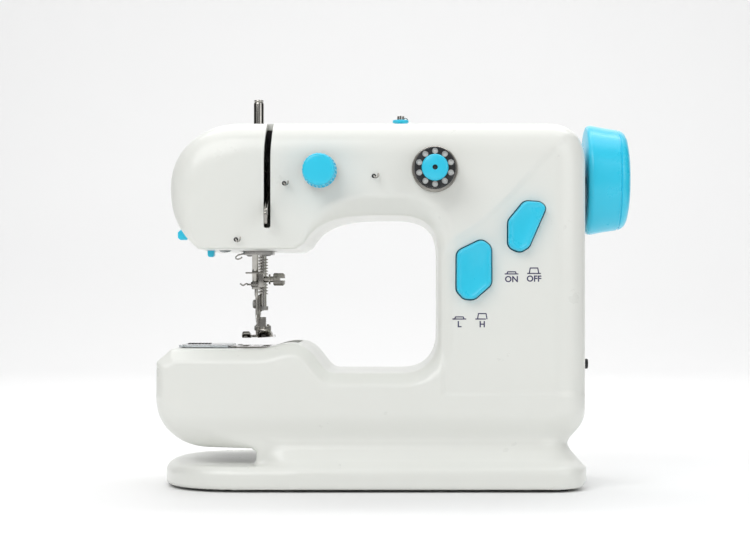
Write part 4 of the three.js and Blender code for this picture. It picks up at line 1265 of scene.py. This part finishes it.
def makeTopParts():
    top = casing["top"]
    sleeve = [(2.5, 118), (2.95, 118), (2.95, top + 0.2), (4.2, top + 0.2), (4.4, top + 0.5),
              (4.3, top + 1.1), (3.9, top + 1.4), (2.8, top + 1.4), (2.5, top + 1.1)]
    newPiece("pin_sleeve", [turned(sleeve, "z", spoolSpot)], white, "machine", ["spool_pin_sleeve"])
    pin = [(0, 119), (2.3, 119), (2.3, 169.6), (2.15, 170.3), (1.9, 170.6), (2.2, 171.0), (2.1, 171.4),
           (1.6, 171.6), (0, 171.6)]
    newPiece("thread_pin", [turned(pin, "z", spoolSpot)], drawnChrome, "spool_pin_body", ["spool_pin"])

    winder = {"prongs": 3, "prongRing": 1.25, "prongHalf": 0.45, "prongTop": 163.0, "teeth": 18, "depth": 0.2}
    disc = [(0, 138), (1.7, 138), (1.7, top + 0.3), (2.6, top + 0.3), (2.6, top + 2.9), (3.3, top + 3.1),
            (3.6, top + 3.4), (3.6, top + 4.1), (3.3, top + 4.4), (1.3, top + 4.5), (0, top + 4.5)]

    def tooth(radius, height, share):
        if radius < 3.4:
            return radius
        return radius - winder["depth"] * (0.5 + 0.5 * math.cos(2 * math.pi * share * winder["teeth"]))

    newPiece("winder_disc", [turned(disc, "z", winderSpot, 108, tooth)], cyan, "winder", ["bobbin_winder"],
             0, sharp=50)
    wx, wy = winderSpot
    half = winder["prongHalf"]
    for i in range(winder["prongs"]):
        angle = 2 * math.pi * i / winder["prongs"] + 0.5
        px, py = wx + winder["prongRing"] * math.cos(angle), wy + winder["prongRing"] * math.sin(angle)
        plan = roundedBox(px - half, px + half, py - half, py + half, 0.2, 3)
        newPiece("winder_prong_%d" % (i + 1), [pushed(plan, top + 4.3, winder["prongTop"], "z")], chrome,
                 "winder", (), 0.12)
    catch = [(wx + 1.2, wy - 0.6, top + 4.6), (wx + 2.0, wy - 1.0, top + 5.3),
             (wx + 2.8, wy - 1.0, top + 4.9), (wx + 3.1, wy - 0.6, top + 4.6)]
    newPiece("winder_catch", [wire(catch, 0.22, 8)], chrome, "winder", ())


# Top of the free arm: needle plate, feed dog and sliding cover

def makeArmTop():
    plate = {"top": 60.6, "under": 57.4, "lines": 4, "firstLine": -51.8, "lineStep": 2.8}
    feedSlots = [roundedBox(-66.9, -63.5, -11.4, 11.4, 0.6, 3), roundedBox(-57.7, -54.3, -11.4, 11.4, 0.6, 3)]
    needleSlot = roundedBox(needleX - 0.9, needleX + 1.9, -1.3, 1.3, 1.2, 4)
    cuts = [pushed(slot, 50, 63, "z") for slot in feedSlots + [needleSlot]]
    cuts.append(block((-67.4, -13, 50), (-53.8, 15.4, 59.1)))
    # Guide lines engraved at even steps to the right of the needle
    for i in range(plate["lines"]):
        x = plate["firstLine"] + i * plate["lineStep"]
        cuts.append(block((x, -15, plate["top"] - 0.12), (x + 0.3, 15, 61)))
    plan = roundedBox(-70.8, -40.8, -18, 18, 3)
    newPiece("throat_plate", [pushed(plan, plate["under"], plate["top"], "z")], chrome, "machine",
             ["needle_plate"], 0.25, cuts)
    head = [(0, 60.3), (1.25, 60.3), (1.25, 60.65), (1.0, 60.85), (0, 60.9)]
    for label, x, y in (("1", -68.9, -14.8), ("2", -68.9, 14.8)):
        slot = block((x - 2, y - 0.18, 60.6), (x + 2, y + 0.18, 61.2))
        newPiece("plate_screw_" + label, [turned(head, "z", (x, y), 28)], steel, "machine", (),
                 0, [slot])

    feed = {"teeth": 12, "half": 9, "low": 59.3, "high": 59.9, "under": 54, "lean": 0.35}
    half = feed["half"]
    profile = [(-half, feed["under"])]
    for i in range(feed["teeth"]):
        for step, height in ((0.0, feed["low"]), (feed["lean"], feed["high"])):
            profile.append((-half + 2 * half * (i + step) / feed["teeth"], height))
    profile += [(half, feed["low"]), (half, feed["under"])]
    newPiece("feed_teeth_left", [pushed(profile, -66.2, -64.2, "x")], steel, "feed", ["feed_dog"])
    newPiece("feed_teeth_right", [pushed(profile, -57.0, -55.0, "x")], steel, "feed", ())
    newPiece("feed_bridge", [block((-66.2, 8.5, 54), (-55, 12, 56.5))], steel, "feed", (), 0.2)

    cover = {"low": 60.3, "high": 61.3, "grips": 7, "firstGrip": -90.4, "gripStep": 1.5}
    high = cover["high"]
    plan = roundedBox(-92.8, -71.2, -18.8, 18.8, 2, 5)
    newPiece("bobbin_window", [pushed(plan, cover["low"], high, "z")], clear, "slide_cover_body",
             ["slide_cover"], 0.2)
    for i in range(cover["grips"]):
        x = cover["firstGrip"] + i * cover["gripStep"]
        ridge = pushed(roundedBox(x, x + 0.7, -3.6, 3.6, 0.3, 3), high - 0.2, high + 0.5, "z")
        newPiece("window_grip_%d" % (i + 1), [ridge], black, "slide_cover_body", (), 0.1)


# Two push buttons, each with a rim round a slightly sunken face

def makeButtons():
    # Each ring is (distance out from the outline, depth)
    rings = [(-0.02, -37.0), (-0.02, -42.2), (-0.25, -42.9), (-0.75, -43.4), (-1.15, -43.5), (-1.5, -43.35),
             (-1.9, -43.15)]
    outlines = {"speed": speedOutline, "on_off": onOffOutline}
    for name, outline in outlines.items():
        body = name + "_body"
        layers = [softened(grown(outline, margin), buttonCorner) for margin, _ in rings]
        corners, faces = [], []
        count = len(layers[0])
        for layer, (_, y) in zip(layers, rings):
            corners += [(px, y, pz) for px, pz in layer]
        for i in range(len(rings) - 1):
            for k in range(count):
                m = (k + 1) % count
                faces.append((i * count + k, i * count + m, (i + 1) * count + m, (i + 1) * count + k))
        faces.append(tuple(range(count)))
        faces.append(tuple(range((len(rings) - 1) * count, len(rings) * count)))
        newPiece(name + "_cap", [(corners, faces)], cyan, body, [name + "_button"], sharp=50)
        flange = pushed(grown(softened(outline, buttonCorner), 1.1), -35.8, -33.2, "y")
        newPiece(name + "_cap_flange", [flange], cyan, body, ())


# The printed marks below and right of the buttons: a cap sitting low or high, and a word

def faceAt(x, z):
    return float(panelRecess(np.array([x]), np.array([z]))[0]) - casing["halfDepth"]


def makePrint():
    marks = {"thick": 0.05, "line": 0.46, "height": 2.5, "capHeight": 0.7, "wordDrop": 3.4, "low": 0.9,
             "high": 2.3}

    def strokes(name, ends):
        shapes = []
        for (x1, z1), (x2, z2) in ends:
            along = Vector((x2 - x1, z2 - z1)).normalized()
            out = Vector((-along.y, along.x)) * marks["line"] / 2
            start, end = Vector((x1, z1)) - along * 0.1, Vector((x2, z2)) + along * 0.1
            y = faceAt((x1 + x2) / 2, (z1 + z2) / 2)
            corners = [tuple(start + out), tuple(start - out), tuple(end - out), tuple(end + out)]
            shapes.append(pushed(corners, y - marks["thick"], y + 0.3, "y"))
        newPiece(name, shapes, ink, "machine", ())

    def word(name, text, x, z):
        curve = bpy.data.curves.new(name, "FONT")
        curve.body = text
        curve.size = 1.0
        curve.align_x = "CENTER"
        curve.resolution_u = 3
        curve.offset = 0.025
        source = bpy.data.objects.new(name + "_text", curve)
        bpy.context.scene.collection.objects.link(source)
        mesh = bpy.data.meshes.new_from_object(source.evaluated_get(bpy.context.evaluated_depsgraph_get()))
        bpy.data.objects.remove(source)
        size = marks["height"] / marks["capHeight"]
        y = faceAt(x, z) - marks["thick"]
        flat = [(x + v.co.x * size, y, z + v.co.y * size) for v in mesh.vertices]
        piece = newMesh(name, (flat, [tuple(p.vertices) for p in mesh.polygons]))
        thick = piece.modifiers.new("thick", "SOLIDIFY")
        thick.thickness = 0.2 * millimetre
        thick.offset = -1.0
        settle(piece)
        belongs(piece, ink, "machine", ())

    for text, x, z, lift in (("ON", 50.9, 92.0, marks["low"]), ("OFF", 60.4, 92.2, marks["high"]),
                             ("L", 28.8, 72.9, marks["low"]), ("H", 38.5, 72.9, marks["high"])):
        strokes("mark_" + text, [((x - 2.8, z), (x + 2.8, z)), ((x - 2.0, z), (x - 1.6, z + lift)),
                                 ((x + 2.0, z), (x + 1.6, z + lift)),
                                 ((x - 1.6, z + lift), (x + 1.6, z + lift))])
        word("word_" + text, text, x, z - marks["wordDrop"])


# Jack, thread cutter, lamp, lamp switch and case screws

def makeTrim():
    right, under = casing["right"], casing["headUnder"]
    jack = [(1.2, right - 7), (1.2, right + 2.8), (1.9, right + 2.8), (2.2, right + 2.5), (2.2, right + 0.4),
            (3.0, right + 0.3), (3.1, right), (3.1, right - 9), (0, right - 9), (0, right - 7)]
    newPiece("power_jack", [turned(jack, "x", jackSpot, 40)], black, "machine", ["dc_jack"])
    pin = [(0, right - 7.2), (0.45, right - 7.2), (0.45, right + 1.6), (0.2, right + 1.9), (0, right + 1.9)]
    newPiece("jack_pin", [turned(pin, "x", jackSpot, 20)], brass, "machine", ())

    side = [(-94.3, 108.2), (-93.3, 107.3), (-90.3, 107.3), (-90.3, 112.1), (-92.6, 112.1), (-94.3, 110.6)]
    slit = pushed([(-95.2, 110.2), (-91.4, 110.9), (-91.4, 111.2), (-95.2, 111.5)], -8.2, -6.4, "y")
    newPiece("cutter_body", [pushed(softened(side, 0.6, 4), -9, -5.6, "y")], cyan, "machine",
             ["thread_cutter"], 0.18, [slit])
    blade = pushed([(-94.0, 110.5), (-91.6, 110.9), (-91.6, 111.1), (-94.0, 111.0)], -7.4, -7.2, "y")
    newPiece("cutter_blade", [blade], chrome, "machine", ())

    lamp = [(0, under - 0.95), (1.2, under - 0.85), (2.1, under - 0.55), (2.6, under - 0.1),
            (2.9, under + 0.3), (2.9, under + 3), (0, under + 3)]
    newPiece("lamp_lens", [turned(lamp, "z", lampSpot)], clear, "machine", ["work_lamp"])
    rocker = [(-81, under + 2), (-80.9, under - 1.9), (-80.5, under - 2.75), (-78.7, under - 2.75),
              (-78.1, under - 2.0), (-77.9, under + 2)]
    newPiece("lamp_rocker", [pushed(softened(rocker, 0.5, 4), -12, -6, "y")], cyan, "lamp_switch_body",
             ["lamp_switch"], 0.25)

    head = [(0, -41.4), (1.6, -41.35), (2.5, -41.1), (2.9, -40.6), (2.9, -40.2), (1.4, -40.2), (1.4, -28),
            (0, -28)]
    long, thin, x = 1.7, 0.32, caseScrewX
    for name, z in caseScrewHeights.items():
        cross = [block((x - long, 40.9, z - thin), (x + long, 42, z + thin)),
                 block((x - thin, 40.9, z - long), (x + thin, 42, z + long))]
        newPiece("back_screw_" + name, [turned(head, "front", (x, z), 40)], steel, "machine",
                 ["case_screw_" + name], 0, cross)


# The working parts inside keep their own solids and take the same finishes

def finishInside():
    inside = [
        (steel, ("main_shaft", "crank_disc", "lower_shaft", "drive_motor", "hook", "connecting_rod")),
        (brass, ("motor_pulley",)),
        (rubber, ("motor_belt", "timing_belt")),
        (framePlastic, ("inner_frame", "circuit_board")),
        (black, ("bobbin_case", "battery_pack")),
        (clear, ("lower_bobbin",)),
    ]
    for material, nodes in inside:
        for node in nodes:
            part = frame["nodes"][node]
            part.data.materials.clear()
            part.data.materials.append(material)


makeShells()
makeBase()
makeHandwheel()
print("base and handwheel made")
makeNeedle()
makePresser()
makeFoot()
makeLifter()
makeBushing()
makeTakeUp()
print("needle and presser made")
makeTension()
makeFrontBobbin()
makeGuides()
makeTopParts()
print("thread path made")
makeArmTop()
makeButtons()
makePrint()
makeTrim()
finishInside()
print("trim made")


# Floor, light and camera

def addLight(name, place, aim, size, power):
    data = bpy.data.lights.new(name, "AREA")
    data.shape = "RECTANGLE"
    data.size, data.size_y = size
    data.energy = power
    lamp = bpy.data.objects.new(name, data)
    lamp.location = place
    lamp.rotation_euler = (Vector(aim) - Vector(place)).to_track_quat("-Z", "Y").to_euler()
    bpy.context.scene.collection.objects.link(lamp)


def addFloor():
    material, tree, shader = newMaterial("paleFloor")
    shader.inputs["Base Color"].default_value = (0.88, 0.88, 0.88, 1)
    place = tree.nodes.new("ShaderNodeTexCoord").outputs["Object"]
    dull = rangeNode(tree, noiseNode(tree, place, 3.0), 0.3, 0.7, 0.5, 0.7)
    tree.links.new(dull, shader.inputs["Roughness"])
    # The floor runs back and curves up into the wall behind
    reach, back, bend, height = 5.0, 1.1, 0.5, 2.6
    profile = [(-reach, 0.0)] + circlePoints((back, bend), bend, 16, -90, 0) + [(back + bend, height)]
    corners = [(x, y, z) for x in (-reach, reach) for y, z in profile]
    count = len(profile)
    faces = [(i, i + 1, count + i + 1, count + i) for i in range(count - 1)]
    mesh = bpy.data.meshes.new("floor")
    mesh.from_pydata(corners, [], faces)
    mesh.shade_smooth()
    floor = bpy.data.objects.new("floor", mesh)
    floor.data.materials.append(material)
    bpy.context.scene.collection.objects.link(floor)


# Level with the middle of the machine, and a little right of it
def addCamera():
    data = bpy.data.cameras.new("camera")
    data.lens = 90.15
    data.sensor_width = 36.0
    data.shift_x = -0.0533
    data.shift_y = 0.022
    camera = bpy.data.objects.new("camera", data)
    camera.location = ((10 + sideways) * millimetre, -0.835, 0.0835)
    camera.rotation_euler = (math.pi / 2, 0, 0)
    bpy.context.scene.collection.objects.link(camera)
    bpy.context.scene.camera = camera


# Dark cards that only reflections see, so that polished metal shows contrast in a pale room
def addCard(name, centre, across, height):
    material, _, shader = newMaterial(name)
    shader.inputs["Base Color"].default_value = (0.01, 0.01, 0.01, 1)
    shader.inputs["Roughness"].default_value = 0.9
    half = Vector(across) / 2
    up = Vector((0, 0, height / 2))
    middle = Vector(centre)
    mesh = bpy.data.meshes.new(name)
    mesh.from_pydata([middle - half - up, middle + half - up, middle + half + up, middle - half + up], [],
                     [(0, 1, 2, 3)])
    card = bpy.data.objects.new(name, mesh)
    card.data.materials.append(material)
    card.visible_camera = False
    card.visible_diffuse = False
    card.visible_shadow = False
    card.visible_transmission = False
    bpy.context.scene.collection.objects.link(card)


addFloor()
addCard("leftCard", (-0.26, -0.42, 0.12), (0.12, 0, 0), 0.5)
addCard("rightCard", (0.2, -0.42, 0.12), (0.1, 0, 0), 0.5)
addCard("leftSideCard", (-0.55, 0.1, 0.12), (0, 0.66, 0), 0.7)
addCard("rightSideCard", (0.5, 0.1, 0.12), (0, 0.66, 0), 0.7)
addLight("keyLight", (-0.5, -0.75, 0.85), (0, 0, 0.08), (0.9, 0.7), 5.9)
addLight("fillLight", (0.85, -0.6, 0.5), (0, 0, 0.08), (0.8, 0.8), 2.7)
addLight("topLight", (0.0, 0.15, 1.1), (0, 0, 0.08), (1.2, 0.9), 4.7)
addLight("backLight", (0.1, 1.0, 0.7), (0, 0, 0.1), (1.0, 0.6), 0.9)
addLight("wallLight", (0, 0.7, 1.6), (0, 1.6, 0.3), (2.4, 0.4), 14.0)
world = bpy.data.worlds.new("softRoom")
bpy.context.scene.world = world
world.use_nodes = True
world.node_tree.nodes["Background"].inputs["Color"].default_value = (1, 1, 1, 1)
world.node_tree.nodes["Background"].inputs["Strength"].default_value = 0.36
bpy.context.scene.view_settings.view_transform = "Standard"
addCamera()
print("stage set")
